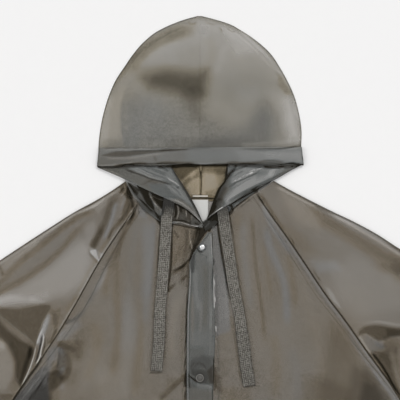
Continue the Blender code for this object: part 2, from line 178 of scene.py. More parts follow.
def steady(knots: np.ndarray, values: np.ndarray, at: np.ndarray) -> np.ndarray:
    """Return straight-line values of a table with one row for each knot."""
    table = np.asarray(values, float)
    if table.ndim == 1:
        return np.interp(at, knots, table)
    return np.stack([np.interp(at, knots, column) for column in table.T], axis=1)


def graded(stops: Sequence[tuple[float, float]]) -> np.ndarray:
    """Set out places whose spacing follows a table.

    Args:
        stops: rising places, each with the spacing wanted there.

    Returns:
        Places from the first stop to the last.
    """
    marks = [stop[0] for stop in stops]
    steps = [stop[1] for stop in stops]
    places = [marks[0]]
    while places[-1] < marks[-1]:
        places.append(places[-1] + float(np.interp(places[-1], marks, steps)))
    found = np.array(places)
    return marks[0] + (found - marks[0]) * (marks[-1] - marks[0]) / (found[-1] - marks[0])


def spread(start: np.ndarray, end: np.ndarray, share: np.ndarray) -> np.ndarray:
    """Return rows of points, each from a start to its end with one point for each share."""
    return mix(start[:, None, :], end[:, None, :], share[None, :, None])


def level_rows(x: np.ndarray, y: np.ndarray) -> np.ndarray:
    """Return rows of points with a row of x each and one y for the whole row."""
    return np.stack((x, np.broadcast_to(y[:, None], x.shape)), axis=2)


def rolled(centre: np.ndarray, outward: np.ndarray, radius: np.ndarray | float) -> np.ndarray:
    """Return rows of points round half a turn, from under each centre to over it."""
    reach = radius * np.cos(BEND)[None, :]
    return centre[:, None, :] + outward[:, None, :] * reach[:, :, None]


def stacked(places: np.ndarray, heights: np.ndarray) -> np.ndarray:
    """Return rows of x, y and z from rows of x and y and their heights."""
    return np.concatenate((places, heights[:, :, None]), axis=2)


def distances(places: np.ndarray, points: np.ndarray) -> np.ndarray:
    """Return how far each row's places are from the row's own point."""
    return np.linalg.norm(places - points[:, None, :], axis=2)


def units(vectors: np.ndarray) -> np.ndarray:
    """Return each vector at a length of one."""
    return vectors / np.linalg.norm(vectors, axis=1)[:, None]


# ---------------- creases and tinted places


def to_span(places: np.ndarray, start: np.ndarray, end: np.ndarray) -> tuple[np.ndarray, np.ndarray]:
    """Measure places against the straight piece between two points.

    Args:
        places: x and y of each place.
        start: one end of the piece.
        end: its other end.

    Returns:
        The share of the way along the piece at its nearest point, and the distance from there.
    """
    span = end - start
    share = np.clip((places - start) @ span / max(float(span @ span), 1e-9), 0.0, 1.0)
    gap = places - start - share[:, None] * span
    return share, np.hypot(gap[:, 0], gap[:, 1])


@dataclass(frozen=True)
class Crease:
    """A soft ridge or trough along a given path, with painted shade and painted highlights on it.

    Positive shade is painted shade, negative a painted highlight; positive warmth is browner,
    negative bluer. The crease reaches as far as its width to the left of its path, and to the right
    as far as far.
    """

    path: Points
    width: float
    shade: float = 0.0
    warmth: float = 0.0
    height: float = 0.0
    far: float = 0.0
    fade: tuple[float, float] = FADE

    def weight(self, places: np.ndarray) -> np.ndarray:
        """Return how strongly the crease acts at each place, from 0 to 1."""
        nodes = np.array(self.path)
        if len(nodes) > 2:
            knots = travelled(nodes)
            nodes = glide(knots, nodes, np.linspace(0, knots[-1], max(int(knots[-1] / 5), 4)))
        before = travelled(nodes)
        nearest = np.full(len(places), np.inf)
        along = np.zeros(len(places))
        turn = np.zeros(len(places))
        for start, end, passed, reached in zip(nodes[:-1], nodes[1:], before[:-1], before[1:]):
            share, distance = to_span(places, start, end)
            closer = distance < nearest
            nearest[closer] = distance[closer]
            along[closer] = passed + share[closer] * (reached - passed)
            span, offset = end - start, places[closer] - start
            turn[closer] = span[0] * offset[:, 1] - span[1] * offset[:, 0]
        width = np.where(turn < 0, self.far or self.width, self.width)
        profile = np.clip(1.0 - (nearest / width) ** 2, 0.0, 1.0) ** 2
        start, end = (max(share, 1e-3) * before[-1] for share in self.fade)
        return profile * smooth(along / start) * smooth((before[-1] - along) / end)

    def reach(self) -> float:
        """Return how far from its path the crease acts."""
        return max(self.width, self.far)


@dataclass(frozen=True)
class Patch:
    """A place with a soft border that is raised or tinted as a whole."""

    path: Points
    blur: float
    shade: float = 0.0
    warmth: float = 0.0
    height: float = 0.0

    def weight(self, places: np.ndarray) -> np.ndarray:
        """Return how strongly the patch acts at each place, from 0 to 1."""
        nodes = np.array(self.path + self.path[:1])
        inside = np.zeros(len(places), bool)
        nearest = np.full(len(places), np.inf)
        for start, end in zip(nodes[:-1], nodes[1:]):
            nearest = np.minimum(nearest, to_span(places, start, end)[1])
            crosses = (start[1] > places[:, 1]) != (end[1] > places[:, 1])
            run, rise = end - start
            side_x = start[0] + (places[:, 1] - start[1]) * run / (rise or 1.0)
            inside ^= crosses & (places[:, 0] < side_x)
        return smooth(0.5 + np.where(inside, nearest, -nearest) / (2 * self.blur))

    def reach(self) -> float:
        """Return how far outside its outline the patch acts."""
        return self.blur


# A mark's shade is painted shade where positive and a painted highlight where negative; its warmth moves the
# film's colour between brown and blue.
Mark = Crease | Patch
Marks = tuple[Mark, ...]


def paired(run: Sequence[float]) -> Points:
    """Return a run of x, y, x, y and so on as points."""
    return tuple(zip(run[::2], run[1::2]))


def line(width: float, shade: float, warmth: float, *run: float, far: float = 0.0,
         fade: tuple[float, float] = FADE) -> Crease:
    """Return a crease that only tints the film, along a run of x, y, x, y and so on."""
    return Crease(paired(run), width, shade, warmth, 0.0, far, fade)


def fold(width: float, shade: float, warmth: float, height: float, *run: float, far: float = 0.0,
         fade: tuple[float, float] = FADE) -> Crease:
    """Return a crease that also raises or lowers the film, along such a run."""
    return Crease(paired(run), width, shade, warmth, height, far, fade)


def spot(blur: float, shade: float, warmth: float, *run: float) -> Patch:
    """Return a patch that only tints the film, with such a run round it."""
    return Patch(paired(run), blur, shade, warmth)


def swell(blur: float, shade: float, warmth: float, height: float, *run: float) -> Patch:
    """Return a patch that also raises or lowers the film, with such a run round it."""
    return Patch(paired(run), blur, shade, warmth, height)


@dataclass
class Finish:
    """Lift and tint at every point of a piece, gathered from its marks."""

    lift: np.ndarray
    shade: np.ndarray
    warmth: np.ndarray

    @classmethod
    def plain(cls, shape: tuple[int, ...], shade: float = 0.0, warmth: float = 0.0) -> "Finish":
        """Return a finish that is the same all over."""
        return cls(np.zeros(shape), np.full(shape, shade), np.full(shape, warmth))

    def add(self, marks: Marks, places: np.ndarray, where: np.ndarray | None = None) -> None:
        """Add marks to the finish.

        Args:
            marks: creases and patches.
            places: x and y of every point, with the finish's own shape.
            where: a mask of the points that the marks reach, or None for all of them.
        """
        flat = places.reshape(-1, 2)
        reached = np.ones(len(flat), bool) if where is None else where.reshape(-1)
        for mark in marks:
            low = np.min(mark.path, axis=0) - mark.reach()
            high = np.max(mark.path, axis=0) + mark.reach()
            near = np.flatnonzero(reached & (flat >= low).all(axis=1) & (flat <= high).all(axis=1))
            if not len(near):
                continue
            weight = mark.weight(flat[near])
            self.lift.reshape(-1)[near] += weight * mark.height
            self.shade.reshape(-1)[near] += weight * mark.shade
            self.warmth.reshape(-1)[near] += weight * mark.warmth


# ---------------- materials


class Signal:
    """A number on a shader socket, with Python's own arithmetic."""

    def __init__(self, graph: "Graph", socket: bpy.types.NodeSocket) -> None:
        """Keep the graph and the socket."""
        self.graph = graph
        self.socket = socket

    def __add__(self, other: "Signal | float") -> "Signal":
        """Return self + other."""
        return self.graph.maths("ADD", self, other)

    def __sub__(self, other: "Signal | float") -> "Signal":
        """Return self - other."""
        return self.graph.maths("SUBTRACT", self, other)

    def __rsub__(self, other: float) -> "Signal":
        """Return other - self."""
        return self.graph.maths("SUBTRACT", other, self)

    def __mul__(self, other: "Signal | float") -> "Signal":
        """Return self * other."""
        return self.graph.maths("MULTIPLY", self, other)

    def __truediv__(self, other: "Signal | float") -> "Signal":
        """Return self / other."""
        return self.graph.maths("DIVIDE", self, other)

    def clamped(self) -> "Signal":
        """Return self held between 0 and 1."""
        return self.graph.maths("ADD", self, 0.0, clamp=True)

    def sine(self) -> "Signal":
        """Return the sine of self."""
        return self.graph.maths("SINE", self)


class Graph:
    """The node graph of one material."""

    def __init__(self, name: str) -> None:
        """Make a material with a Principled shader and nothing else linked."""
        self.material = bpy.data.materials.new(name)
        self.material.use_nodes = True
        self.tree = self.material.node_tree
        self.shader = self.tree.nodes["Principled BSDF"]

    def node(self, kind: str, settings: dict | None = None, sockets: dict | None = None) -> bpy.types.Node:
        """Add a node.

        Args:
            kind: the node's type.
            settings: its own properties, set first.
            sockets: input names or numbers, with a value, a link or a Signal for each.

        Returns:
            The node.
        """
        made = self.tree.nodes.new(kind)
        for key, value in (settings or {}).items():
            setattr(made, key, value)
        for key, value in (sockets or {}).items():
            self.feed(made.inputs[key], value)
        return made

    def feed(self, socket: bpy.types.NodeSocket, value: object) -> None:
        """Link a value that varies to a socket, or set one that doesn't."""
        if isinstance(value, Signal):
            value = value.socket
        if isinstance(value, bpy.types.NodeSocket):
            self.tree.links.new(value, socket)
        else:
            socket.default_value = value

    def maths(self, operation: str, *values: "Signal | float", clamp: bool = False) -> Signal:
        """Return the result of a Math node."""
        made = self.node("ShaderNodeMath", {"operation": operation, "use_clamp": clamp},
                         dict(enumerate(values)))
        return Signal(self, made.outputs[0])

    def attribute(self, name: str) -> Signal:
        """Return the value of a mesh attribute."""
        made = self.node("ShaderNodeAttribute", {"attribute_name": name})
        return Signal(self, made.outputs["Fac"])

    def objects(self) -> bpy.types.NodeSocket:
        """Return the object's own coordinates."""
        return self.node("ShaderNodeTexCoord").outputs["Object"]

    def cut_place(self) -> tuple[bpy.types.NodeSocket, Signal, Signal]:
        """Return the place on the flat cut, and its distances across and along it in metres."""
        uv = self.node("ShaderNodeUVMap", {"uv_map": "cut"}).outputs[0]
        split = self.node("ShaderNodeSeparateXYZ", sockets={0: uv})
        return uv, Signal(self, split.outputs[0]), Signal(self, split.outputs[1])

    def noise(self, vector: bpy.types.NodeSocket, scale: float, detail: float) -> Signal:
        """Return cloudy noise from 0 to 1 whose cells are 1 / scale metres across."""
        made = self.node("ShaderNodeTexNoise", sockets={"Vector": vector, "Scale": scale, "Detail": detail})
        return Signal(self, made.outputs["Fac"])

    def blend(self, share: Signal, first: object, second: object) -> bpy.types.NodeSocket:
        """Return a colour a share of the way from first to second."""
        made = self.node("ShaderNodeMix", {"data_type": "RGBA"})
        self.feed(made.inputs[0], share)
        self.feed(made.inputs[6], (*first, 1.0) if isinstance(first, tuple) else first)
        self.feed(made.inputs[7], (*second, 1.0) if isinstance(second, tuple) else second)
        return made.outputs[2]

    def bump(self, height: Signal, strength: float, distance: float,
             below: bpy.types.NodeSocket | None = None) -> bpy.types.NodeSocket:
        """Return a normal bent by a height, over another bent normal if one is given."""
        sockets = {"Height": height, "Strength": strength, "Distance": distance}
        if below is not None:
            sockets["Normal"] = below
        return self.node("ShaderNodeBump", sockets=sockets).outputs[0]

    def dress(self, **sockets: object) -> bpy.types.Material:
        """Set the shader's sockets, named with _ for a space, and return the material."""
        for key, value in sockets.items():
            self.feed(self.shader.inputs[key.replace("_", " ")], value)
        return self.material


@dataclass(frozen=True)
class Film:
    """Smoke-grey film that lets light through, with painted shade in its folds and hollows and painted
    highlights on its ridges.
    """

    name: str
    warm: Colour = (0.205, 0.1555, 0.091)
    cool: Colour = (0.168, 0.166, 0.160)
    # colours of the painted shade and of the painted highlight
    shade_colour: Colour = (0.014, 0.012, 0.008)
    glare: Colour = (0.64, 0.625, 0.605)
    cover: float = 0.30
    roughness: float = 0.34
    mottle: float = 0.10
    grain: float = 0.40
    ripple: float = 0.25

    def material(self) -> bpy.types.Material:
        """Build the material.

        Returns:
            The material.
        """
        graph = Graph(self.name)
        place = graph.objects()
        cloud = graph.noise(place, 11.0, 3.0) - 0.5
        drift = graph.noise(place, 5.0, 2.0) - 0.5
        grain = graph.noise(place, 900.0, 2.0)
        ripple = graph.noise(place, 70.0, 3.0)
        weave = graph.noise(place, 430.0, 3.0) - 0.5
        tone = graph.attribute("shade") + cloud * self.mottle
        # a point's shade paints shade where positive and a highlight where negative
        dark = (tone + weave * self.grain).clamped()
        pale = (0.0 - tone).clamped()
        cover = (dark + pale) * (1.0 - self.cover) + self.cover
        tint = (graph.attribute("warmth") + drift * 0.9 + 0.5).clamped()
        film = graph.blend(tint, self.cool, self.warm)
        shaded_film = graph.blend(dark / cover, film, self.shade_colour)
        colour = graph.blend(pale / cover, shaded_film, self.glare)
        fine = graph.bump(grain, 0.12, 0.0002)
        return graph.dress(
            Base_Color=colour,
            Alpha=cover,
            Roughness=(grain - 0.5) * 0.16 + self.roughness,
            Coat_Weight=1.0 - dark,
            Coat_Roughness=self.roughness,
            Coat_IOR=1.42,
            Specular_IOR_Level=0.0,
            Normal=graph.bump(ripple, self.ripple, 0.0006, fine),
        )


@dataclass(frozen=True)
class Webbing:
    """Flat woven drawcord with a twill face and firm edges."""

    name: str = "cord_webbing"
    thread: Colour = (0.240, 0.228, 0.201)
    valley: Colour = (0.052, 0.046, 0.036)
    shadow: Colour = (0.012, 0.011, 0.009)
    rib_mm: float = 1.25
    twill_mm: float = 5.8

    def material(self) -> bpy.types.Material:
        """Build the material.

        Returns:
            The material.
        """
        graph = Graph(self.name)
        uv, across, along = graph.cut_place()
        cell = graph.node("ShaderNodeVectorMath", {"operation": "SNAP"},
                          {0: uv, 1: (self.rib_mm * MM, self.rib_mm * MM, 1.0)}).outputs[0]
        thread = graph.node("ShaderNodeTexWhiteNoise", {"noise_dimensions": "2D"}, {"Vector": cell})
        wave = 2 * math.pi / (self.twill_mm * MM)
        twill = ((across + along) * wave).sine() * ((across - along) * wave).sine()
        raised = (Signal(graph, thread.outputs["Value"]) * 1.30 + twill * 0.70 - 0.18).clamped()
        shade = graph.attribute("shade").clamped()
        threads = graph.blend(raised, self.valley, self.thread)
        return graph.dress(
            Base_Color=graph.blend(shade, threads, self.shadow),
            Roughness=0.9 - raised * 0.12,
            Normal=graph.bump(raised, 0.7, 0.0006),
        )


@dataclass(frozen=True)
class Tape:
    """Close-woven pale cloth of the label and its tape."""

    name: str
    colour: Colour
    shadow: Colour
    thread_mm: float = 0.9

    def material(self) -> bpy.types.Material:
        """Build the material.

        Returns:
            The material.
        """
        graph = Graph(self.name)
        _, across, along = graph.cut_place()
        wave = 2 * math.pi / (self.thread_mm * MM)
        weave = (across * wave).sine() * (along * wave).sine() * 0.25 + 0.5
        soil = graph.noise(graph.objects(), 45.0, 3.0)
        shade = (graph.attribute("shade") + (soil - 0.5) * 0.2).clamped()
        return graph.dress(
            Base_Color=graph.blend(shade, self.colour, self.shadow),
            Roughness=0.86 - weave * 0.1,
            Normal=graph.bump(weave, 0.35, 0.0002),
        )


@dataclass(frozen=True)
class Metal:
    """Turned metal with fine rings from the lathe and a little tarnish."""

    name: str
    bright: Colour
    dull: Colour
    metallic: float
    roughness: float

    def material(self) -> bpy.types.Material:
        """Build the material.

        Returns:
            The material.
        """
        graph = Graph(self.name)
        place = graph.objects()
        tarnish = graph.noise(place, 380.0, 3.0)
        brush = graph.noise(place, 2600.0, 2.0)
        # the shade attribute, painted shade in grooves, and tarnish blend bright towards dull
        shade = (graph.attribute("shade") + (tarnish - 0.5) * 0.5).clamped()
        return graph.dress(
            Base_Color=graph.blend(shade, self.bright, self.dull),
            Metallic=self.metallic,
            Roughness=(brush - 0.5) * 0.2 + self.roughness,
            Normal=graph.bump(brush, 0.08, 0.0001),
        )


@dataclass(frozen=True)
class Board:
    """The pale painted board that the coat lies on."""

    name: str = "pale_board"
    colour: Colour = (0.925, 0.917, 0.908)

    def material(self) -> bpy.types.Material:
        """Build the material.

        Returns:
            The material.
        """
        graph = Graph(self.name)
        speck = graph.noise(graph.objects(), 60.0, 4.0)
        shade = tuple(channel * 0.985 for channel in self.colour)
        return graph.dress(
            Base_Color=graph.blend(speck, self.colour, shade),
            Roughness=speck * 0.1 + 0.85,
            Specular_IOR_Level=0.1,
        )


class Stuff(Enum):
    """What the coat's pieces are made of."""

    BODY = Film("body_film")
    CROWN = Film("crown_film", warm=(0.372, 0.320, 0.222), cool=(0.300, 0.304, 0.292), cover=0.21,
                 roughness=0.44, mottle=0.06, ripple=0.06)
    EDGE = Film("edge_film", warm=(0.205, 0.180, 0.142), cool=(0.166, 0.178, 0.174), cover=0.36,
                roughness=0.3, grain=0.16)
    LINING = Film("lining_film", warm=(0.345, 0.270, 0.152), cool=(0.270, 0.276, 0.266), cover=0.45)
    WEBBING = Webbing()
    LABEL = Tape("label_cloth", (0.64, 0.635, 0.61), (0.26, 0.24, 0.21))
    TAPE = Tape("tape_cloth", (0.60, 0.57, 0.52), (0.16, 0.14, 0.12))
    BRIGHT = Metal("bright_snap", (0.88, 0.88, 0.87), (0.115, 0.12, 0.12), 1.0, 0.26)
    CAP = Metal("grey_snap_cap", (0.155, 0.148, 0.134), (0.022, 0.020, 0.016), 0.0, 0.42)
    BOARD = Board()


MADE: dict[Stuff, bpy.types.Material] = {}


def material_of(stuff: Stuff) -> bpy.types.Material:
    """Return the material of some stuff, built the first time."""
    if stuff not in MADE:
        MADE[stuff] = stuff.value.material()
    return MADE[stuff]


# ---------------- pieces


def poured(bm: bmesh.types.BMesh, name: str) -> bpy.types.Mesh:
    """Return a mesh with all that the bmesh holds, and free the bmesh."""
    mesh = bpy.data.meshes.new(name)
    bm.to_mesh(mesh)
    bm.free()
    return mesh


def placed(name: str, data: bpy.types.ID) -> bpy.types.Object:
    """Return a new object of the scene that shows the data."""
    made = bpy.data.objects.new(name, data)
    bpy.context.scene.collection.objects.link(made)
    return made


def store(mesh: bpy.types.Mesh, name: str, values: np.ndarray) -> None:
    """Store a number for each vertex of a mesh."""
    layer = mesh.attributes.new(name, "FLOAT", "POINT")
    layer.data.foreach_set("value", values.astype(np.float32).ravel())


def register(piece: bpy.types.Object, stuff: Stuff, nodes: Sequence[str]) -> bpy.types.Object:
    """Dress a piece and tell the frame what it rides on and stands for.

    Args:
        piece: the finished mesh object, at the origin.
        stuff: what it is made of.
        nodes: the CAD nodes that it stands for.

    Returns:
        The piece.
    """
    piece.data.materials.append(material_of(stuff))
    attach(piece, BODY)
    if nodes:
        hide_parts(*nodes)
    LOG.info("%s: %d faces", piece.name, len(piece.data.polygons))
    return piece


@dataclass
class Cloth:
    """A sheet set out as rows of points, which becomes a thin closed shell."""

    name: str
    places: np.ndarray
    finish: Finish
    stuff: Stuff
    slot: str
    node: str = ""
    thickness: float = FILM_MM
    weld: bool = False

    def cut_map(self) -> np.ndarray:
        """Return the distance across and along the sheet at every point, in metres."""
        across = np.linalg.norm(np.diff(self.places, axis=1), axis=2)
        along = np.linalg.norm(np.diff(self.places, axis=0), axis=2)
        u = np.concatenate((np.zeros((len(self.places), 1)), np.cumsum(across, axis=1)), axis=1)
        v = np.concatenate((np.zeros((1, self.places.shape[1])), np.cumsum(along, axis=0)), axis=0)
        return np.stack((u, v), axis=2).reshape(-1, 2) * MM

    def build(self) -> bpy.types.Object:
        """Build the shell and register it.

        Returns:
            The piece.
        """
        rows, columns = self.places.shape[:2]
        bm = bmesh.new()
        bmesh.ops.create_grid(bm, x_segments=columns - 1, y_segments=rows - 1, size=1.0)
        mesh = poured(bm, f"{self.name}_sheet")
        places = self.places.copy()
        places[:, :, 2] = np.maximum(places[:, :, 2] + self.finish.lift, self.thickness / 2 + 0.02)
        mesh.vertices.foreach_set("co", ((places + ORIGIN) * MM).astype(np.float32).ravel())
        self.write_tints(mesh)
        if self.weld:
            bm = bmesh.new()
            bm.from_mesh(mesh)
            bmesh.ops.remove_doubles(bm, verts=bm.verts, dist=0.00002)
            bm.to_mesh(mesh)
            bm.free()
        mesh.update()
        mesh.shade_smooth()
        piece = placed(f"{self.name}_sheet", mesh)
        shell = piece.modifiers.new("shell", "SOLIDIFY")
        shell.thickness = self.thickness * MM
        shell.offset = 0.0
        return register(piece, self.stuff, [self.node or self.name])

    def write_tints(self, mesh: bpy.types.Mesh) -> None:
        """Store the tints and the cut map on the mesh; each face of the shell takes its share."""
        tint = np.clip(self.finish.shade, -0.98, 0.995)
        tint = np.sign(tint) * (1.0 - (1.0 - np.abs(tint)) ** 0.6)
        store(mesh, "shade", tint)
        store(mesh, "warmth", self.finish.warmth)
        corners = np.empty(len(mesh.loops), np.int32)
        mesh.loops.foreach_get("vertex_index", corners)
        layer = mesh.uv_layers.new(name="cut")
        layer.data.foreach_set("uv", self.cut_map()[corners].astype(np.float32).ravel())


def turned(name: str, profile: Sequence[tuple[float, float]], centre: tuple[float, float],
           seat: float, steps: int = 40) -> bpy.types.Object:
    """Turn a closed profile about an upright axis.

    Args:
        name: the piece's name.
        profile: radius and height of each corner in millimetres, from the bottom up and round.
        centre: the axis, in millimetres.
        seat: height of the profile's zero.
        steps: steps of the full turn.

    Returns:
        The unregistered piece, closed and with its faces outwards.
    """
    at = Vector((centre[0] + ORIGIN[0], centre[1] + ORIGIN[1], 0.0))
    bm = bmesh.new()
    ring = [bm.verts.new((at + Vector((radius, 0.0, seat + height))) * MM) for radius, height in profile]
    edges = [bm.edges.new(pair) for pair in zip(ring, ring[1:])]
    if profile[0][0] > 0.01:
        edges.append(bm.edges.new((ring[-1], ring[0])))
    bmesh.ops.spin(bm, geom=ring + edges, cent=at * MM, axis=(0.0, 0.0, 1.0), dvec=(0.0, 0.0, 0.0),
                   angle=2 * math.pi, steps=steps, use_merge=True, use_duplicate=False)
    bmesh.ops.remove_doubles(bm, verts=bm.verts, dist=0.00001)
    bmesh.ops.recalc_face_normals(bm, faces=bm.faces)
    mesh = poured(bm, name)
    mesh.shade_smooth()
    return placed(name, mesh)


# ---------------- studio


@dataclass
class Studio:
    """Camera straight above the neck, a pale board, and soft light from a tent and two lamps."""

    camera_height: float = 2.5
    framed_width: float = 0.62
    sensor: float = 36.0
    tent_colour: Colour = (0.985, 0.990, 1.0)
    tent_strength: float = 0.66
    board_size: float = 60.0
    board_drop: float = 0.0001

    def build(self) -> None:
        """Set up the camera, the light and the board."""
        scene = bpy.context.scene
        scene.view_settings.view_transform = "Standard"
        scene.cycles.transparent_max_bounces = 40
        self.camera()
        self.tent()
        self.lamp("key_lamp", 0.95, (0.30, 0.62, 1.0), 24.0)
        self.lamp("side_lamp", 0.42, (-0.95, 0.15, 0.80), 34.0)
        self.board()
        LOG.info("studio ready")

    def camera(self) -> None:
        """Hang the camera over the tables' zero point."""
        data = bpy.data.cameras.new("camera")
        data.sensor_width = self.sensor
        data.lens = self.sensor / self.framed_width * (self.camera_height - 0.004)
        data.clip_start, data.clip_end = 0.05, 100.0
        camera = placed("camera", data)
        camera.location = (ORIGIN[0] * MM, ORIGIN[1] * MM, self.camera_height)
        bpy.context.scene.camera = camera

    def tent(self) -> None:
        """Light the scene evenly from all round."""
        world = bpy.data.worlds.new("tent")
        world.use_nodes = True
        background = world.node_tree.nodes["Background"]
        background.inputs["Color"].default_value = (*self.tent_colour, 1.0)
        background.inputs["Strength"].default_value = self.tent_strength
        bpy.context.scene.world = world

    def lamp(self, name: str, power: float, towards: Colour, softness: float) -> None:
        """Add a distant lamp.

        Args:
            name: its name.
            power: its strength.
            towards: the direction in which it stands.
            softness: how wide it looks, in degrees.
        """
        data = bpy.data.lights.new(name, "SUN")
        data.energy = power
        data.angle = math.radians(softness)
        lamp = placed(name, data)
        lamp.rotation_mode = "QUATERNION"
        lamp.rotation_quaternion = Vector(towards).to_track_quat("Z", "Y")

    def board(self) -> None:
        """Lay the pale board under the coat."""
        bm = bmesh.new()
        bmesh.ops.create_grid(bm, x_segments=1, y_segments=1, size=self.board_size / 2)
        bmesh.ops.translate(bm, verts=bm.verts, vec=(0.0, 0.0, -self.board_drop))
        mesh = poured(bm, "board")
        mesh.materials.append(material_of(Stuff.BOARD))
        placed("board", mesh)


# ---------------- the coat's outline

# Each sleeve station: a point of the shoulder fold, its partner on the raglan or underarm seam,
# and how far the back raglan seam lies inside the front one
UNDERARM_ROW = 8
SLEEVES = {
    Side.LEFT: (
        (-115.5, 29.0, -97.7, -7.8, 12.0), (-140.0, 12.2, -117.0, -36.6, 12.0),
        (-161.7, -1.0, -136.4, -64.6, 12.0), (-192.8, -17.9, -160.5, -103.0, 15.0),
        (-235.9, -45.0, -190.0, -156.0, 18.0), (-272.9, -69.1, -220.0, -206.5, 15.0),
        (-310.0, -93.6, -252.0, -254.0, 11.0), (-360.0, -126.7, -288.3, -306.9, 6.0),
        (-410.0, -159.7, -317.8, -356.5, 0.0), (-500.0, -219.2, -400.0, -389.0, 0.0),
        (-610.0, -291.9, -520.0, -437.0, 0.0), (-719.0, -364.0, -640.0, -485.6, 0.0),
    ),
    Side.RIGHT: (
        (114.1, 29.5, 87.4, 9.3, -8.0), (139.5, 15.5, 110.1, -23.3, -10.0),
        (177.6, -4.2, 137.2, -61.3, -12.0), (210.2, -20.4, 163.6, -100.3, -15.0),
        (237.3, -33.2, 195.3, -147.7, -16.0), (274.4, -53.2, 228.5, -192.0, -14.0),
        (310.0, -76.1, 258.1, -234.1, -11.0), (362.0, -104.8, 295.0, -285.0, -6.0),
        (412.0, -133.1, 330.0, -340.0, 0.0), (500.0, -182.9, 405.0, -368.0, 0.0),
        (620.0, -250.9, 535.0, -407.0, 0.0), (742.0, -320.0, 671.0, -446.0, 0.0),
    ),
}
HEM_Y = -995.0
HEM_DROP = 6.0
SIDE_SEAMS = {
    Side.LEFT: ((-321, -430), (-324, -520), (-328, -615), (-332, -710), (-336, -805),
                (-340, -900), (-345, -989)),
    Side.RIGHT: ((334, -430), (337, -520), (340, -615), (343, -710), (346, -805), (349, -900),
                 (352, -989)),
}
CENTRE_ROWS_Y = (-41.0, -72.0, -100.0, -132.0, -170.0, -215.0, -262.0, -315.0, -372.0,
                 -440.0, -525.0, -618.0, -712.0, -807.0, -902.0, HEM_Y)
UNDERLAP_X = 14.0

# The placket's rows: y, left edge and right edge
PLACKET = (
    (-50.0, 11.5, 19.0), (-60.0, 5.0, 19.4), (-72.0, -3.2, 19.6), (-84.0, -11.0, 19.8),
    (-97.0, -16.4, 20.2), (-132.0, -17.4, 22.0), (-170.0, -20.0, 23.4), (-215.0, -20.9, 23.6),
    (-262.0, -21.0, 21.6), (-315.0, -20.8, 20.0), (-372.0, -20.4, 20.6), (-440.0, -20.0, 21.4),
    (-525.0, -20.2, 21.8), (-618.0, -20.8, 21.2), (-712.0, -20.2, 21.0), (-807.0, -20.0, 21.6),
    (-902.0, -20.4, 21.4), (-994.2, -20.0, 21.2),
)
# Where the points of one half of the placket's width lie
PLACKET_SHARES = np.array((0, .006, .016, .03, .045, .06, .075, .09, .11, .13, .155, .18, .21, .24,
                           .27, .3, .33, .36, .39, .42, .45, .475))
PLACKET_CORNER = (13.0, -50.0)
# Lines down its left edge: distance from the edge, half width and shade
PLACKET_LINES = ((0.0, 0.75, 0.80), (2.1, 0.7, -0.22), (4.4, 0.95, 0.20))
SNAPS = ((3.6, -72.9), (-0.2, -275.6), (0.6, -478.0), (0.2, -680.0), (0.6, -882.0))

# The hood's outline: y, left x and right x
HOOD_SLICES = (
    (3.6, -82.0, 77.0), (26.0, -100.0, 98.0), (50.0, -156.5, 148.5), (60.0, -157.2, 157.0),
    (82.0, -157.6, 157.0), (108.0, -155.0, 157.5), (139.0, -148.6, 152.5), (163.0, -141.0, 145.6),
    (187.0, -130.2, 134.5), (208.0, -116.4, 122.5), (228.0, -102.4, 108.6), (246.0, -86.4, 88.8),
    (263.0, -64.0, 63.8), (274.0, -40.4, 43.0), (281.0, -20.6, 20.0), (285.5, -4.0, 2.5),
)
ROUND_FROM_Y = 50.0
CASING_TOP_Y = 81.5
CASING_LOWER_EDGE = (
    (-159.2, 51.9), (-136.4, 51.8), (-122.5, 52.2), (-113.2, 54.7), (-99.2, 53.9), (-86.8, 53.3),
    (-46.5, 54.1), (-29.4, 55.5), (-16.3, 56.1), (-7.8, 55.2), (27.9, 55.6), (55.8, 56.1),
    (89.9, 55.0), (122.5, 54.6), (139.5, 56.7), (150.3, 55.2), (160.7, 53.6),
)

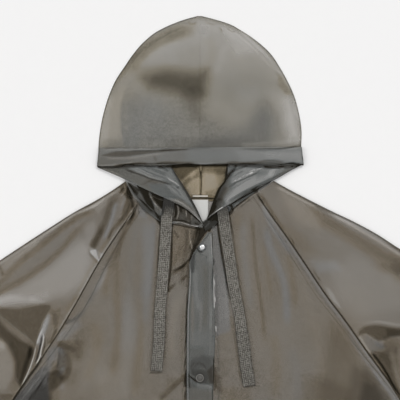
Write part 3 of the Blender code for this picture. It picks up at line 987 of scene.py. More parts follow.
# The hood's turned-out sides: neck edge, rolled fold and free edge as x and y, then the heights
# of the layer below, of the neck edge and of the free edge, and the fold's radius
TURNS = {
    Side.LEFT: (
        (-138.0, 68.0, -47.4, 70.0, -157.6, 66.0, 1.8, 1.8, 3.8, 1.0),
        (-146.0, 52.0, -44.8, 54.0, -158.9, 50.6, 1.8, 1.9, 3.9, 1.1),
        (-120.0, 36.0, -38.9, 43.2, -136.0, 40.8, 2.4, 4.5, 6.2, 2.0),
        (-112.0, 22.0, -31.0, 31.0, -114.7, 31.3, 3.1, 4.5, 6.4, 2.8),
        (-99.4, 1.7, -24.0, 20.0, -91.0, 20.2, 3.1, 4.5, 6.6, 3.2),
        (-84.0, -16.0, -16.8, 8.6, -70.0, 10.2, 3.1, 4.5, 7.4, 3.4),
        (-58.0, -35.0, -8.8, -6.0, -47.1, -0.2, 3.1, 4.5, 8.8, 3.2),
        (-30.0, -36.6, -2.2, -19.0, -21.0, -14.0, 3.3, 4.5, 7.2, 2.6),
        (-4.7, -41.4, 2.6, -30.4, -1.0, -31.4, 3.6, 4.5, 6.4, 1.2),
        (4.0, -43.2, 4.6, -34.4, 2.2, -35.2, 3.7, 4.6, 6.0, 0.9),
    ),
    Side.RIGHT: (
        (140.0, 68.0, 43.0, 70.0, 159.6, 68.0, 1.8, 1.8, 3.8, 1.0),
        (148.0, 52.0, 41.5, 54.0, 160.7, 55.8, 1.8, 1.9, 3.9, 1.1),
        (120.0, 38.0, 39.7, 42.0, 145.0, 48.0, 2.4, 4.5, 6.4, 2.0),
        (109.0, 27.0, 37.0, 29.0, 115.6, 31.3, 3.1, 4.7, 6.6, 2.8),
        (89.0, 14.6, 28.9, 18.6, 92.0, 21.4, 3.1, 4.7, 6.8, 3.2),
        (68.0, -0.2, 23.6, 7.0, 70.0, 8.4, 3.1, 4.5, 7.8, 3.4),
        (49.2, -14.9, 18.4, -7.0, 46.0, -7.0, 3.1, 4.7, 9.6, 3.2),
        (33.0, -30.0, 12.9, -22.5, 25.0, -18.8, 3.3, 5.7, 9.5, 2.6),
        (17.5, -43.0, 8.0, -31.2, 10.5, -29.0, 3.9, 5.8, 8.0, 1.4),
        (8.0, -48.0, 3.2, -34.6, 5.0, -33.2, 3.9, 5.8, 7.4, 1.1),
    ),
}
NECK_LINES = {
    Side.LEFT: ((-99.4, 1.7), (-87.4, -12.6), (-79.2, -19.7), (-69.8, -24.3), (-63.7, -31.5),
                (-55.0, -35.0), (-45.0, -32.0), (-35.3, -33.9), (-18.6, -37.5), (-4.7, -39.8),
                (14.0, -44.0)),
    Side.RIGHT: ((13.0, -48.0), (22.0, -40.0), (33.0, -30.0), (49.2, -14.9), (68.0, -0.2),
                 (82.3, 11.2), (89.0, 14.6)),
}


@dataclass(frozen=True)
class CordLie:
    """How a drawcord's free end lies, with its shade all over, at the neck and in places."""

    route: Points
    neck_z: float
    neck_shade: float
    shaded_length: float
    side_shade: float
    shade: float
    tip_shade: float
    tip_turn: float


# The drawcords' free ends, on the solids' own routes
CORDS = {
    Side.LEFT: CordLie(
        route=(
            (-47.6, 6.0), (-48.2, -3.0), (-49.6, -13.5), (-51.2, -24.8), (-52.4, -45.0),
            (-53.9, -65.9), (-55.2, -86.5), (-56.6, -107.0), (-58.4, -128.0), (-60.1, -148.8),
            (-62.0, -172.0), (-62.9, -196.0), (-63.7, -220.9), (-65.6, -243.0), (-67.7, -265.1),
        ),
        neck_z=6.5, neck_shade=1.0, shaded_length=13.0, side_shade=0.75,
        shade=0.0, tip_shade=0.0, tip_turn=0.4,
    ),
    Side.RIGHT: CordLie(
        route=(
            (32.6, -8.5), (34.9, -17.0), (37.2, -33.0), (40.0, -52.1), (42.9, -72.0),
            (46.2, -93.0), (49.3, -114.5), (52.7, -136.4), (57.0, -158.0), (61.4, -179.3),
            (64.2, -200.0), (66.7, -220.9), (69.3, -241.5), (71.8, -262.0), (74.0, -275.0),
            (76.3, -288.3),
        ),
        neck_z=7.6, neck_shade=0.80, shaded_length=5.0, side_shade=0.0,
        shade=0.07, tip_shade=0.03, tip_turn=1.3,
    ),
}


def raglan(side: Side) -> np.ndarray:
    """Return the points of a side's front raglan seam, from the neck to the underarm."""
    return np.array([station[2:4] for station in SLEEVES[side][:UNDERARM_ROW + 1]])


def shifted(points: np.ndarray, reach: float) -> Points:
    """Return a line of points moved sideways, to its left where reach is positive."""
    along = units(np.gradient(np.asarray(points, float), axis=0))
    moved = np.asarray(points) + np.stack((-along[:, 1], along[:, 0]), axis=1) * reach
    return tuple((float(x), float(y)) for x, y in moved)


def placket_edge(y: np.ndarray, column: int = 1) -> np.ndarray:
    """Return the x of the placket's left (1) or right (2) edge at each height on the coat."""
    table = np.array(PLACKET)[::-1]
    return np.interp(y, table[:, 0], table[:, column])


# ---------------- marks of the body

LEFT_RAGLAN = raglan(Side.LEFT)
RIGHT_RAGLAN = raglan(Side.RIGHT)

LEFT_FRONT_MARKS: Marks = (
    # raglan seam, with a short thick fold at its top and a soft brown band that leaves it
    Crease(shifted(LEFT_RAGLAN, .3), 1.4, .88, .1, -.3, fade=(.02, 0)),
    line(2.4, .8, 0, -237, -234, -251, -256, -263.5, -273, -276, -291.5, -291.5, -313, fade=(.3, 0)),
    fold(2.8, .95, .1, -.5, -97.5, -5.5, -103, -20, -111, -32.5, fade=(.05, .25)),
    line(3.8, .42, .4, -101, -17, -104, -26, -115, -42, fade=(.2, .3)),
    spot(4, -.06, -.7, -94, -9, -84, -11, -82, -28, -94, -26),
    fold(7, .26, .5, -.8, -98, -17, -107, -29, -130, -93, -135, -118, fade=(.1, .4)),
    line(3, .16, 0, -113, -43, -161, -126, fade=(.1, .4)),
    fold(1.6, .3, 0, -.3, -96, -9, -95, -17, -96, -25, fade=(.2, .3)),
    fold(9, .07, .45, .6, -129, -68, -143, -116, -149, -155),
    # back seam showing through
    line(6, .1, -.35, -118, -56, -136, -88, -172, -157, -186, -180, -195, -191, fade=(.3, .3)),
    line(7, -.2, -.1, -141, -96, -150, -121, -166, -146, fade=(.3, .3)),
    # upright soft bands
    fold(13, -.05, -.55, 1, -84, -22, -82, -62, -88, -202),
    fold(6, -.04, -.7, .8, -71, -25, -74, -62, -81, -155),
    fold(9, -.02, -.2, .7, -94, -20, -102, -62, -116, -202),
    fold(9, .09, .5, -.8, -127, -85, -130, -132, -127, -186, -136, -279),
    fold(12, -.04, -.1, .8, -107, -155, -118, -310),
    fold(9, .06, .45, -.6, -92, -140, -93, -225, -102, -310),
    # gather under the raglan, low on the left
    swell(5, -.08, -.5, .8, -205, -194, -189, -186, -183, -194, -208, -219, -222, -222, -220, -209),
    fold(1.8, -.3, -.2, .4, -212, -197, -208, -195, -202, -195),
    fold(2, -.14, -.2, .5, -210, -200, -222, -221),
    fold(6, .2, -.5, -.6, -174, -167, -202, -188, -216, -189, fade=(.4, .1)),
    fold(4, .24, .6, -.5, -222, -222, -214, -220, -192, -222, far=9, fade=(0, .5)),
    fold(7, .3, .6, -.4, -220, -224, -183, -236, fade=(0, .6)),
    spot(8, .12, .2, -205, -264, -189, -265, -192, -288, -205, -291),
    spot(6, .26, .3, -214, -225, -202, -225, -191, -217, -180, -223, -180, -239, -188, -250, -200, -245),
    spot(5, .11, .1, -194, -208, -177, -198, -174, -222, -192, -225),
    spot(4, .12, .1, -225, -177, -208, -177, -205, -195, -220, -198),
    spot(3, .11, .2, -53, -276, -36, -274, -36, -294, -50, -294),
    fold(1, -.5, 0, .3, 24, -183, 24, -190.5),
    spot(3, .15, .8, -231, -250, -222, -250, -217, -265, -229, -274),
    spot(3, .14, .6, -222, -236, -209, -242, -209, -257, -220, -262, -223, -248),
    spot(2.5, .18, 0, -231, -276, -222, -276, -223, -285, -231, -285),
    spot(3, -.14, -.3, -222, -282, -211, -277, -212, -294, -222, -294),
    spot(2.5, -.17, 0, -245, -265, -232, -265, -232, -276, -243, -276),
    spot(5, .27, .2, -225, -174, -209, -174, -205, -186, -217, -195, -223, -189),
    swell(3, .06, -.6, .8, -237, -236, -229, -228, -222, -225, -222, -242, -226, -260, -234, -264,
          -239, -251),
    fold(1.7, -.3, -.2, .4, -221, -226, -221, -237, -223, -250, -230, -262, fade=(.1, .3)),
    line(1.5, -.16, -.3, -231, -234, -229, -243, -232, -254, -240, -268),
    swell(4, .2, -.8, .6, -220, -226, -212, -229, -208, -243, -209, -260, -217, -276, -226, -273,
          -220, -242),
    spot(4, .36, .2, -212, -232, -205, -239, -200, -251, -200, -267, -208, -282, -220, -288, -209, -260,
         -208, -245),
    fold(2.2, .2, -.3, -.5, -219, -226, -218, -237, -224, -264, -232, -273, far=3),
    fold(5, .1, .2, -.5, -208, -232, -201, -248, -208, -276, -220, -285, far=8),
    swell(4, .52, .6, -.8, -235.5, -266.5, -217, -265, -211, -276, -220, -291.5, -232.5, -294.5, -237, -279),
    swell(3.4, .34, -.9, -.4, -239, -257, -232, -270, -236, -288, -231, -316, -291, -316, -251, -265),
    spot(7, .36, -.3, -248, -285, -234, -288, -236, -316, -267, -316, -262, -301),
    spot(6, .16, .4, -236, -288, -220, -285, -217, -322, -239, -322),
    fold(2.2, -.26, -.7, .8, -242, -257, -248, -273, -259, -287, -282, -316),
    fold(2.4, .45, -.6, -.8, -237, -267, -246, -284, -257, -298, -268, -316),
    fold(1.6, -.22, -.7, .6, -245, -279, -254, -291, -264, -307),
    line(4, .22, .6, -229, -291, -232, -316, far=6),
    spot(3.6, .14, -.1, -288, -298, -267, -298, -273, -322, -304, -322),
    spot(16, -.06, -.1, -183, -236, -149, -225, -146, -273, -180, -291),
    spot(16, -.07, 0, -155, -267, -112, -260, -112, -316, -155, -316),
    fold(12, .02, .3, 1, -170, -186, -160, -209, -177, -287),
    spot(16, -.03, -.2, -136, -163, -102, -140, -93, -202, -112, -236, -143, -232),
    # folds that run into the placket
    fold(3.4, .7, .4, -.5, -16, -92, -26, -102, -46, -112, fade=(0, .25)),
    fold(4.2, .3, .4, .5, -22, -100, -46, -118, fade=(.1, .3)),
    line(3.6, .42, .4, -19, -116, -31, -126, fade=(.2, .4)),
    fold(3.4, .55, .5, -.4, -35.6, -128, -42.5, -133.3, -49.6, -142.6, fade=(.5, .05)),
    spot(6, .1, .35, -43, -40, -25, -40, -20, -50, -22, -78, -31, -96, -43, -96),
    fold(3.4, .32, .6, .6, -41, -48, -36, -54, -33, -60),
    fold(5, .14, .4, .8, -29, -67, -34, -85, -43, -105),
    fold(4, -.1, -.1, .5, -27, -43, -25, -62, -26, -81),
    fold(3.4, .14, .2, -.4, -20, -43, -20, -62, -25, -85),
    fold(1.8, -.32, .2, .4, -16, -45, -16, -59, -15, -70),
    fold(1.5, -.95, -.2, .6, -14.5, -62, -12, -77),
    fold(9, -.05, .2, 1, -28, -146, -36, -164, -46, -248),
    fold(5, .34, .5, .8, -20, -273, -29, -280, -65, -313, far=9, fade=(0, .2)),
    fold(2.3, 1, .1, -.3, -18.5, -130, -19.5, -158, -21, -189, -21.5, -225, fade=(.3, .1)),
    fold(1.7, .8, .2, -.3, -21.5, -209, -22.5, -232.5, -22.5, -316, fade=(.2, 0)),
    spot(1.2, .7, .2, -23, -269.5, -17, -269.5, -17, -290, -23, -290),
    line(3, .36, .1, -22, -260, -23, -294),
    swell(.9, -1, 0, .3, -21.5, -289, -20, -289, -20, -294, -21.5, -294),
    fold(4.5, .12, .2, -.4, -26, -155, -28, -202, -26, -316, fade=(.3, 0)),
    # painted shadow in the opening beside the turned top corner of the placket
    spot(1.5, .95, -.1, -6, -40.5, 1.5, -32.5, 20, -34, 20, -45, 14.5, -48.5, 4, -61, -2, -70, -8, -84.5,
         -13.5, -113, -16, -108.5, -16.5, -90, -14, -80.5, -7, -57.5, -5, -45),
    fold(1.8, -.34, .1, .4, -2, -46, -5, -59, -10, -73, fade=(.1, .4)),
    spot(6, .28, .2, -25, -42, -2, -45, -19, -96, -25, -133, -31, -127),
    line(3.6, .44, .1, -4, -40, -18, -84, fade=(0, .3)),
    fold(3.4, .42, .2, -.3, -18, -96, -19, -140),
    # neck seam and the shade under the turned-out side
    line(2.4, .55, .1, -99, 0, -84, -18, -67, -28, -61, -37, fade=(.1, 0)),
    line(3.6, .7, .2, -78, -22, -70, -26, -60, -40, fade=(.3, .1)),
    line(1.7, .85, .2, -56, -37, -45, -37.5, -37, -38.5, -15.5, -42.5, -6, -44, 0, -42.5, fade=(.02, .02)),
    line(1.8, .28, -.2, -56, -35, -45, -35, -19, -40, -5, -42, fade=(0, 0)),
    # shade beside the drawcord
    line(1.9, .9, .2, -60, -29.5, -62, -56, -64, -87, -66.5, -130, fade=(.03, .3)),
    line(3.2, .18, .2, -61, -37, -70, -155, -73, -225, -78, -267),
    line(1.9, .95, .3, -43, -32.5, -46, -111.5, -51, -145.5, fade=(.05, .06)),
    line(2.8, .16, .3, -43, -46, -47, -116, -52, -155, -54, -225, -57, -267),
    line(1.6, .6, .2, -77.5, -267.5, -57.5, -267.5, fade=(.05, .05)),
    # folds below the second snap and down the side seam
    fold(26, .1, .3, -1.2, -118, -300, -128, -420, -122, -540),
    fold(30, -.05, -.3, 2.6, -158, -320, -170, -450, -160, -610, -168, -760),
    fold(24, .1, .3, -1, -226, -360, -214, -500, -222, -660),
    fold(22, -.04, -.3, 2, -262, -420, -258, -560, -266, -720, -260, -880),
    fold(22, -.04, -.2, 2.2, -98, -520, -88, -680, -96, -860, -90, -990),
    fold(14, .1, .2, -.8, -52, -420, -60, -560, -54, -760),
    fold(20, .08, .3, -.9, -200, -640, -190, -800, -204, -985),
    fold(18, -.04, -.2, 1.8, -140, -760, -132, -880, -146, -990),
    fold(11, -.08, -.2, 1.4, -300, -500, -240, -560, -200, -570),
    fold(9, .12, .2, -.8, -318, -690, -280, -712, -236, -708),
)

RIGHT_FRONT_MARKS: Marks = (
    Crease(shifted(RIGHT_RAGLAN, -.1), 1.3, .95, .2, -.3, fade=(.02, 0)),
    line(1.7, .6, .1, 88.5, 9.5, 96, -1.5, 99, -8, fade=(.1, .3)),
    Crease(shifted(RIGHT_RAGLAN, -3), 2, -.16, -.9, .5, fade=(.1, 0)),
    Crease(shifted(RIGHT_RAGLAN, -6.8), 3, .12, -.2, fade=(.25, 0)),
    fold(6, -.08, -.7, .8, 98, -9, 105, -28, 149, -94, fade=(.05, .3)),
    fold(5.5, .17, .45, -1.2, 80, -12, 87, -105, 93, -144, 102, -232),
    fold(9, -.05, -.75, 1.2, 101, -34, 107, -67, 129, -124, 136, -202),
    fold(7, .07, .4, -.7, 133, -81, 140, -102, 149, -170),
    fold(8, -.03, -.35, .6, 67, -22, 67, -62, 81, -178),
    spot(9, .08, .35, 54, -25, 60, -20, 64, -34, 57, -43, 53, -34),
    fold(5, .05, .3, -.4, 96, -62, 105, -112, 112, -155),
    fold(15, -.03, .1, 1.4, 155, -127, 183, -225, 189, -294),
    swell(14, .17, .3, -1, 203, -189, 225, -202, 256, -260, 298, -322, 186, -326, 183, -287),
    spot(9, .19, 0, 239, -260, 256, -265, 276, -290, 291, -322, 226, -322),
    spot(10, .16, .3, 161, -273, 189, -273, 232, -294, 232, -326, 155, -326),
    spot(4, .17, 0, 254, -254, 285, -285, 273, -290, 254, -276),
    spot(6, .26, -.2, 254, -282, 277, -288, 294, -304, 304, -326, 245, -326),
    spot(8, .12, .3, 50, -294, 78, -291, 81, -322, 50, -322),
    fold(3.6, -.24, -1.4, .6, 267, -262, 279, -279, 293, -296, 304, -312, fade=(.3, 0)),
    fold(2.4, -.12, -.7, .4, 228, -206, 262, -256, 279, -276),
    fold(12, .05, .3, -.8, 112, -202, 118, -240, 115, -316),
    fold(12, 0, -.2, 1, 140, -225, 149, -264, 152, -316),
    # strip between the placket and the drawcord
    spot(3.5, -.02, -.95, 19, -40, 26, -37, 43, -140, 46, -202, 25, -211),
    spot(4, -.12, -.2, 37, -133, 48, -140, 51, -178, 42, -183),
    spot(6, .1, .3, 31, -291, 53, -291, 53, -322, 31, -322),
    spot(4, .1, .1, 26, -245, 43, -245, 43, -276, 28, -276),
    fold(3, -.16, -.6, .5, 34.1, -96.1, 38.1, -117.8, 40.9, -136.4, fade=(.3, .3)),
    fold(3.4, .16, -.2, -.6, 24, -96, 25.5, -139.5, 29.5, -310, fade=(.1, 0)),
    fold(1.4, -.6, -.4, .5, 17.5, -47, 19.5, -43.5, 22.5, -39.5, fade=(0, .2)),
    fold(1.8, .75, -.6, -.3, 19, -88.5, 21, -93, 21, -102.5),
    fold(1, -.9, 0, .5, 21.5, -108.5, 22, -128.5, 23, -147, 23, -169, fade=(.25, .1)),
    fold(1.3, -.85, 0, .4, 24, -194, 24.5, -206),
    fold(1.3, -.55, 0, .4, 24, -217, 24, -223),
    spot(2, .55, .2, 20, -257.5, 25, -260.5, 25.5, -288.5, 21.5, -297.5),
    spot(3.4, .22, .2, 23, -270, 33, -274, 36, -298, 25, -301),
    Crease(shifted(NECK_LINES[Side.RIGHT], -1), 2, .75, .1, fade=(0, 0)),
    Crease(shifted(NECK_LINES[Side.RIGHT], -3), 1.6, -.22, -.1, fade=(.3, .1)),
    line(1.5, .4, 0, 54, -16, 65, -8.5, 83.5, 6, fade=(.2, 0)),
    line(2.2, .95, .1, 43.5, -22.5, 47.5, -21, 51, -17.5, 51, -12.5, fade=(.1, 0)),
    spot(1.6, .85, 0, 6, -49.5, 14, -48.5, 18.5, -44, 21, -39.5, 28, -39, 29.5, -21.5, 8, -29.5),
    # shade beside the drawcord
    line(2.1, .95, .2, 26, -29.5, 29.5, -56, 47.5, -161, fade=(.03, .25)),
    line(1.8, .7, .3, 44.5, -14, 47.5, -34, 50.5, -49.5, 54, -74.5, fade=(.05, .6)),
    line(3.2, .18, .2, 26, -37, 39, -116, 48, -183, 56, -225, 64, -288, fade=(.1, .05)),
    line(2.2, .3, .3, 51, -54, 62, -132, 70, -183, 79, -251, 85, -287, fade=(.1, .05)),
    line(1.6, .6, .2, 66.5, -290, 86, -287.5, fade=(.05, .05)),
    # folds below the second snap and down the side seam
    fold(26, -.05, -.3, 2.4, 112, -330, 120, -450, 112, -600),
    fold(24, .1, .3, -1.1, 160, -330, 150, -470, 160, -640, 150, -780),
    fold(28, -.05, -.3, 2.4, 214, -340, 206, -500, 216, -660),
    fold(24, -.04, -.3, 1.9, 270, -430, 262, -600, 268, -760, 258, -900),
    fold(13, .1, .2, -.8, 58, -420, 64, -600, 56, -780),
    fold(22, -.04, -.2, 2, 110, -640, 118, -790, 108, -985),
    fold(18, .08, .3, -.9, 190, -700, 200, -840, 188, -990),
    fold(16, -.04, -.2, 1.6, 240, -800, 232, -900, 244, -990),
    fold(11, -.08, -.2, 1.4, 322, -560, 270, -610, 228, -616),
    fold(9, .12, .2, -.8, 332, -770, 290, -800, 250, -792),
)

FRONT_MARKS = {Side.LEFT: LEFT_FRONT_MARKS, Side.RIGHT: RIGHT_FRONT_MARKS}


LEFT_SLEEVE_MARKS: Marks = (
    Crease(shifted(LEFT_RAGLAN, -2.2), 1.8, -.22, .1, fade=(.02, 0)),
    Crease(shifted(LEFT_RAGLAN, -.2), 1.2, .8, .1, fade=(.02, 0)),
    # deep fold from the neck, ending in a glint
    fold(8.6, .38, .3, -1.6, -116, 10, -134, -1, -147, -34, -167, -74, fade=(.3, 0)),
    fold(9, .26, .2, -.4, -147, -34, -167, -74, fade=(.5, 0)),
    fold(5.5, -.1, -.7, 2, -126, -2, -131, -9, -136, -28, -150, -64),
    swell(1.6, -.5, -1.1, 1, -171.5, -79, -161.5, -76.5, -155.5, -95.5),
    line(1.2, -.35, -.6, -170.5, -79.5, -156.5, -95.5),
    spot(2, -.26, -.4, -159, -81, -148, -83, -154, -92),
    line(2.4, .2, .2, -173, -74, -170, -84, -157, -99),
    line(3.4, .1, .5, -141, -56, -147, -68, -155, -78),
    spot(2.4, .42, .3, -125, 20, -116, 27, -109, 16, -106, 3, -113, 2, -120, 9),
    # brown lens by the seam
    swell(2.4, .34, .55, .9, -115.5, 26.5, -108, 8, -104.5, -9.5, -114, -26.5, -122.5, -37, -135, -48,
          -141, -62, -143, -56, -134, -40.5, -122, -28, -119.5, -14, -114.5, 1.5),
    line(4.2, .85, .3, -113, 24, -106, 2, -104, -8, -105, -16),
    line(4, .22, .3, -113, 17, -110, -9, -113, -19),
    line(3.6, .26, .6, -112, -14, -115, -21, -130, -36, fade=(.1, .3)),
    line(3.4, .2, .5, -135, -43, -139, -51, -142, -62),
    fold(1.8, -.5, .35, .5, -104.5, -16.5, -111, -29, -116, -35.5, fade=(.05, .3)),
    fold(1.6, -.42, .2, .4, -118, 24, -114.5, 16, -117, 11.5, -125.5, 4, fade=(.05, .3)),
    line(2.8, .46, .7, -118, 19, -126, 10, fade=(.1, .3)),
    fold(3, -.08, -.4, .8, -115, 6, -123, -17),
    # soft bands along the shoulder
    fold(7.5, .2, .6, -1.2, -159.5, -17, -186, -24, -206, -38, -245, -70, -273, -91.5, -319.5, -135,
         fade=(.1, 0)),
    fold(8, .17, .5, -1, -167, -31, -194, -51, -211, -72, -257, -112, -322, -149, fade=(.2, 0)),
    fold(5, -.1, .25, 1.2, -140, 5, -167, -12, -195, -24, -273, -81, -307, -104),
    swell(12, -.26, .1, 1.6, -183, -62, -169, -71, -167, -99, -180, -130, -208, -149, -301, -160, -310, -164,
          -329, -164, -329, -155, -279, -136, -236, -108),
    spot(6, -.26, 0, -316, -152, -294, -147, -257, -152, -242, -158, -316, -164),
    swell(8, -.12, .2, .6, -322, -105, -276, -81, -273, -96, -298, -118, -322, -130),
    line(4, .34, .7, -316, -99, -308, -108, -305, -119),
    fold(2, -.22, 0, .8, -316, -126, -307, -120, -301, -114),
    spot(5, -.12, .2, -273, -73, -254, -62, -245, -73, -264, -90),
    spot(5, -.12, .1, -169, -9, -149, 2, -144, -6, -158, -19),
    spot(5, -.12, 0, -264, -149, -236, -143, -229, -155, -248, -160, -264, -158),
    spot(4, -.2, .1, -329, -206, -310, -209, -301, -222, -304, -232, -329, -229),
    spot(4, .14, .3, -279, -279, -291, -276, -298, -294, -282, -301),
    # painted shade in a hollow, and a painted highlight on the ridge below it
    swell(2.4, .4, .45, -1.6, -328.5, -166, -282, -169.5, -263.5, -166, -240, -162, -231, -164.5, -234, -172,
          -243.5, -187.5, -251, -209, -256, -225.5, -269.5, -214, -290, -200, -310, -183, -328.5, -172),
    fold(2.6, -.16, .2, 1.4, -329, -170, -310, -181, -290, -198, -270, -213, -256, -226, fade=(0, .3)),
    swell(4.4, .6, .5, -1.4, -329, -177, -310, -188, -296, -203, -276, -218, -259, -228, -259, -239,
          -267, -262, -278, -291, -287, -276, -286, -251, -298, -225, -329, -202),
    spot(3, .36, .4, -265, -228, -257, -231, -267, -264, -279, -293, -280, -282, -275, -260),
    fold(7, .1, .4, -.4, -298, -217, -287, -236, -284, -279),
    swell(6, -.1, .1, 1.2, -329, -217, -304, -223, -291, -245, -290, -267, -298, -291, -329, -298),
    fold(3, .34, .5, -.4, -322, -299, -304, -303, -291, -302),
    spot(2.6, .32, .3, -326, -304, -298, -304, -284, -298, -288, -322, -326, -322),
    # double crease, with painted highlights on its ridges and painted shade between them
    fold(6.4, -.34, -.9, 2.4, -231, -169, -252, -228, fade=(.4, .15)),
    fold(2, -.42, -.4, .8, -243, -197, -252, -220, -254, -229, fade=(.3, .3)),
    fold(1.3, -.8, 0, 1, -254, -225, -256, -235.5, -265, -263.5, -273, -280.5, -280, -297, fade=(.1, .05)),
    fold(3.4, -.06, .3, .3, -251, -236, -255, -251, -270, -281),
    fold(1.4, -.8, -.2, .8, -242.5, -206, -242.5, -215.5, -246, -231, -249, -245, -255, -256.5),
    fold(2.2, .95, -.6, -.8, -244.5, -209, -247.5, -225, -254, -248, -259, -259, fade=(.1, .3)),
    line(5, .13, .1, -234, -208, -240, -228, -257, -264),
    line(1.2, .6, 0, -255, -252.5, -276, -291.5),
    spot(4, .18, .4, -229, -174, -217, -167, -216, -183, -226, -198, -229, -189),
    spot(3, .13, .2, -267, -223, -251, -223, -251, -245, -265, -245),
    spot(5, -.12, 0, -180, -40, -164, -33, -158, -56, -174, -67),
    swell(.9, -.8, 0, .3, -247, -241, -244, -241, -244, -244.5, -247, -244.5),
    line(1.6, .5, 0, -239.5, -211, -241, -226.5, -245.5, -242, -252.5, -257.5, fade=(.2, .3)),
    fold(6, .16, .6, -.4, -235, -167, -226, -180, -223, -198),
    fold(4, .5, .5, -.5, -219, -194, -234, -225, fade=(.4, .1)),
    line(1.2, -.08, .2, -192, -156, -217, -195),
    line(7, .06, .4, -186, -146, -209, -174),
    line(4, 0, .5, -148, -70, -177, -118, -192, -147),
    # shoulder edge
    line(1.4, .5, 0, -118, 25.5, -144, 8.5, -172, -8.5, -195.5, -18.5, -214, -31, -241, -47.5, -282, -76.5,
         -322.5, -102.5, fade=(0, 0)),
    fold(4.4, -.26, .3, .6, -118, 21, -144, 5, -170, -12, -194, -22, -214, -35, -322, -106, fade=(.1, 0)),
    # folds of the lower sleeve
    fold(20, .12, .3, -1.2, -318, -190, -372, -226, -430, -246),
    fold(22, -.08, -.1, 2.6, -336, -262, -392, -292, -452, -300),
    fold(18, .12, .3, -1.1, -420, -180, -490, -232, -640, -350),
    fold(22, -.08, -.2, 2.4, -470, -300, -612, -404),
    fold(12, .12, .3, -.9, -400, -352, -470, -384, -560, -420),
    fold(12, .1, .2, -.8, -560, -268, -600, -330, -612, -396),
)

RIGHT_SLEEVE_MARKS: Marks = (
    Crease(shifted(RIGHT_RAGLAN, .5), 1.6, .92, .2, fade=(.02, 0)),
    fold(5, .26, .65, -.5, 92, 11, 115, -25, 144, -64, far=3, fade=(.1, .5)),
    spot(2, .45, .8, 93, 3, 100, 1, 98, -5, 94, -4),
    line(1.7, .8, .1, 88.5, 9.5, 96, -1.5, 99, -8, fade=(.1, .3)),
    line(2.2, .3, .3, 138, -57, 143, -62, 147, -71),
    line(2, .26, .3, 175, -105, 180, -116, 188, -126),
    # pale strip inside the shoulder edge with an olive band below it
    fold(4, -.14, .45, .8, 115, 22, 183, -14),
    fold(4, -.14, .5, 1.8, 189, -16, 259, -55, 316, -91, fade=(.3, 0)),
    fold(8, .19, .8, -.8, 157, -6, 236, -54, 316, -104, far=20, fade=(.3, 0)),
    swell(8, .14, .5, -.6, 298, -96, 329, -102, 329, -130, 304, -124),
    swell(10, -.12, .4, .8, 124, 16, 161, -3, 189, -28, 183, -46, 155, -34, 133, -9),
    spot(9, .08, .3, 130, -40, 158, -56, 180, -81, 164, -87, 143, -68),
    swell(8, -.08, -.5, .8, 174, -96, 211, -96, 217, -108, 183, -112),
    swell(14, -.09, 0, 1.4, 202, -105, 232, -90, 279, -99, 329, -133, 329, -174, 285, -174, 242, -183,
          211, -158),
    fold(10, .2, .4, -1, 257, -96, 329, -118, far=13, fade=(.5, 0)),
    spot(2.6, -.2, -.1, 194, -135, 203, -140, 219, -167, 209, -161, 202, -152),
    # curved fold with painted shade in it
    swell(2.2, .5, .55, -1.4, 245.5, -210, 248, -203, 252.5, -198.5, 260.5, -195.5, 273, -194, 285, -195.5,
          331.5, -203, 331.5, -212.5, 310, -211.5, 296, -212.5, 285, -217, 277.5, -219.5, 257.5, -207.5),
    spot(2.6, .26, .3, 288, -200, 332, -203, 332, -211, 291, -211),
    fold(4, -.08, .1, 1.4, 251, -195, 260, -192, 274, -190, 294, -193, 322, -198),
    swell(2.6, .13, -.3, .6, 253, -211, 259, -210, 270, -216, 285, -222, 287, -229, 266, -237, 257, -226),
    fold(3, 0, -.6, .4, 270, -219, 277, -226, 287, -230),
    fold(3.4, -.24, .5, .8, 247, -212, 252, -220, 265, -239, fade=(.05, .1)),
    swell(4.4, .48, .6, -1, 265, -238, 271, -235, 282, -235, 293, -237, 304, -279, 316, -310, 301, -294,
          276, -253),
    fold(3.4, .7, .1, -.6, 267, -238, 277, -250, 289, -268, 300, -288, 313, -308, fade=(.05, 0)),
    line(1.2, -.16, .6, 267, -244, 277, -257, 301, -294),
    spot(4, .24, .5, 284, -212, 305, -211, 313, -226, 304, -236, 287, -236),
    spot(5, .13, .1, 273, -226, 294, -223, 308, -236, 308, -257, 294, -260, 279, -242),
    spot(3, .12, .6, 294, -82, 326, -93, 326, -102, 304, -96),
    fold(7, .15, .3, 1, 305, -223, 305, -248, 313, -279),
    # shoulder edge
    line(3.4, -.22, .2, 189, -15, 212, -26, 232, -37, 259, -52, 316, -87, fade=(.2, 0)),
    line(1.2, .14, 0, 115, 29, 149, 11, 239, -34, 273, -52, 316, -81, fade=(0, 0)),
    line(2.6, -.24, -.1, 201.5, -19.5, 274.5, -57.5, 304, -77.5, fade=(.3, .3)),
    # folds of the lower sleeve
    fold(20, .12, .3, -1.2, 330, -150, 390, -188, 450, -206),
    fold(22, -.08, -.1, 2.6, 348, -236, 410, -262, 470, -268),
    fold(18, .12, .3, -1.1, 430, -160, 510, -206, 600, -252, 680, -300),
    fold(22, -.08, -.2, 2.4, 480, -262, 640, -360),
    fold(12, .12, .3, -.9, 420, -330, 500, -362, 590, -392),
    fold(12, .1, .2, -.8, 590, -228, 630, -290, 640, -350),
)

SLEEVE_MARKS = {Side.LEFT: LEFT_SLEEVE_MARKS, Side.RIGHT: RIGHT_SLEEVE_MARKS}

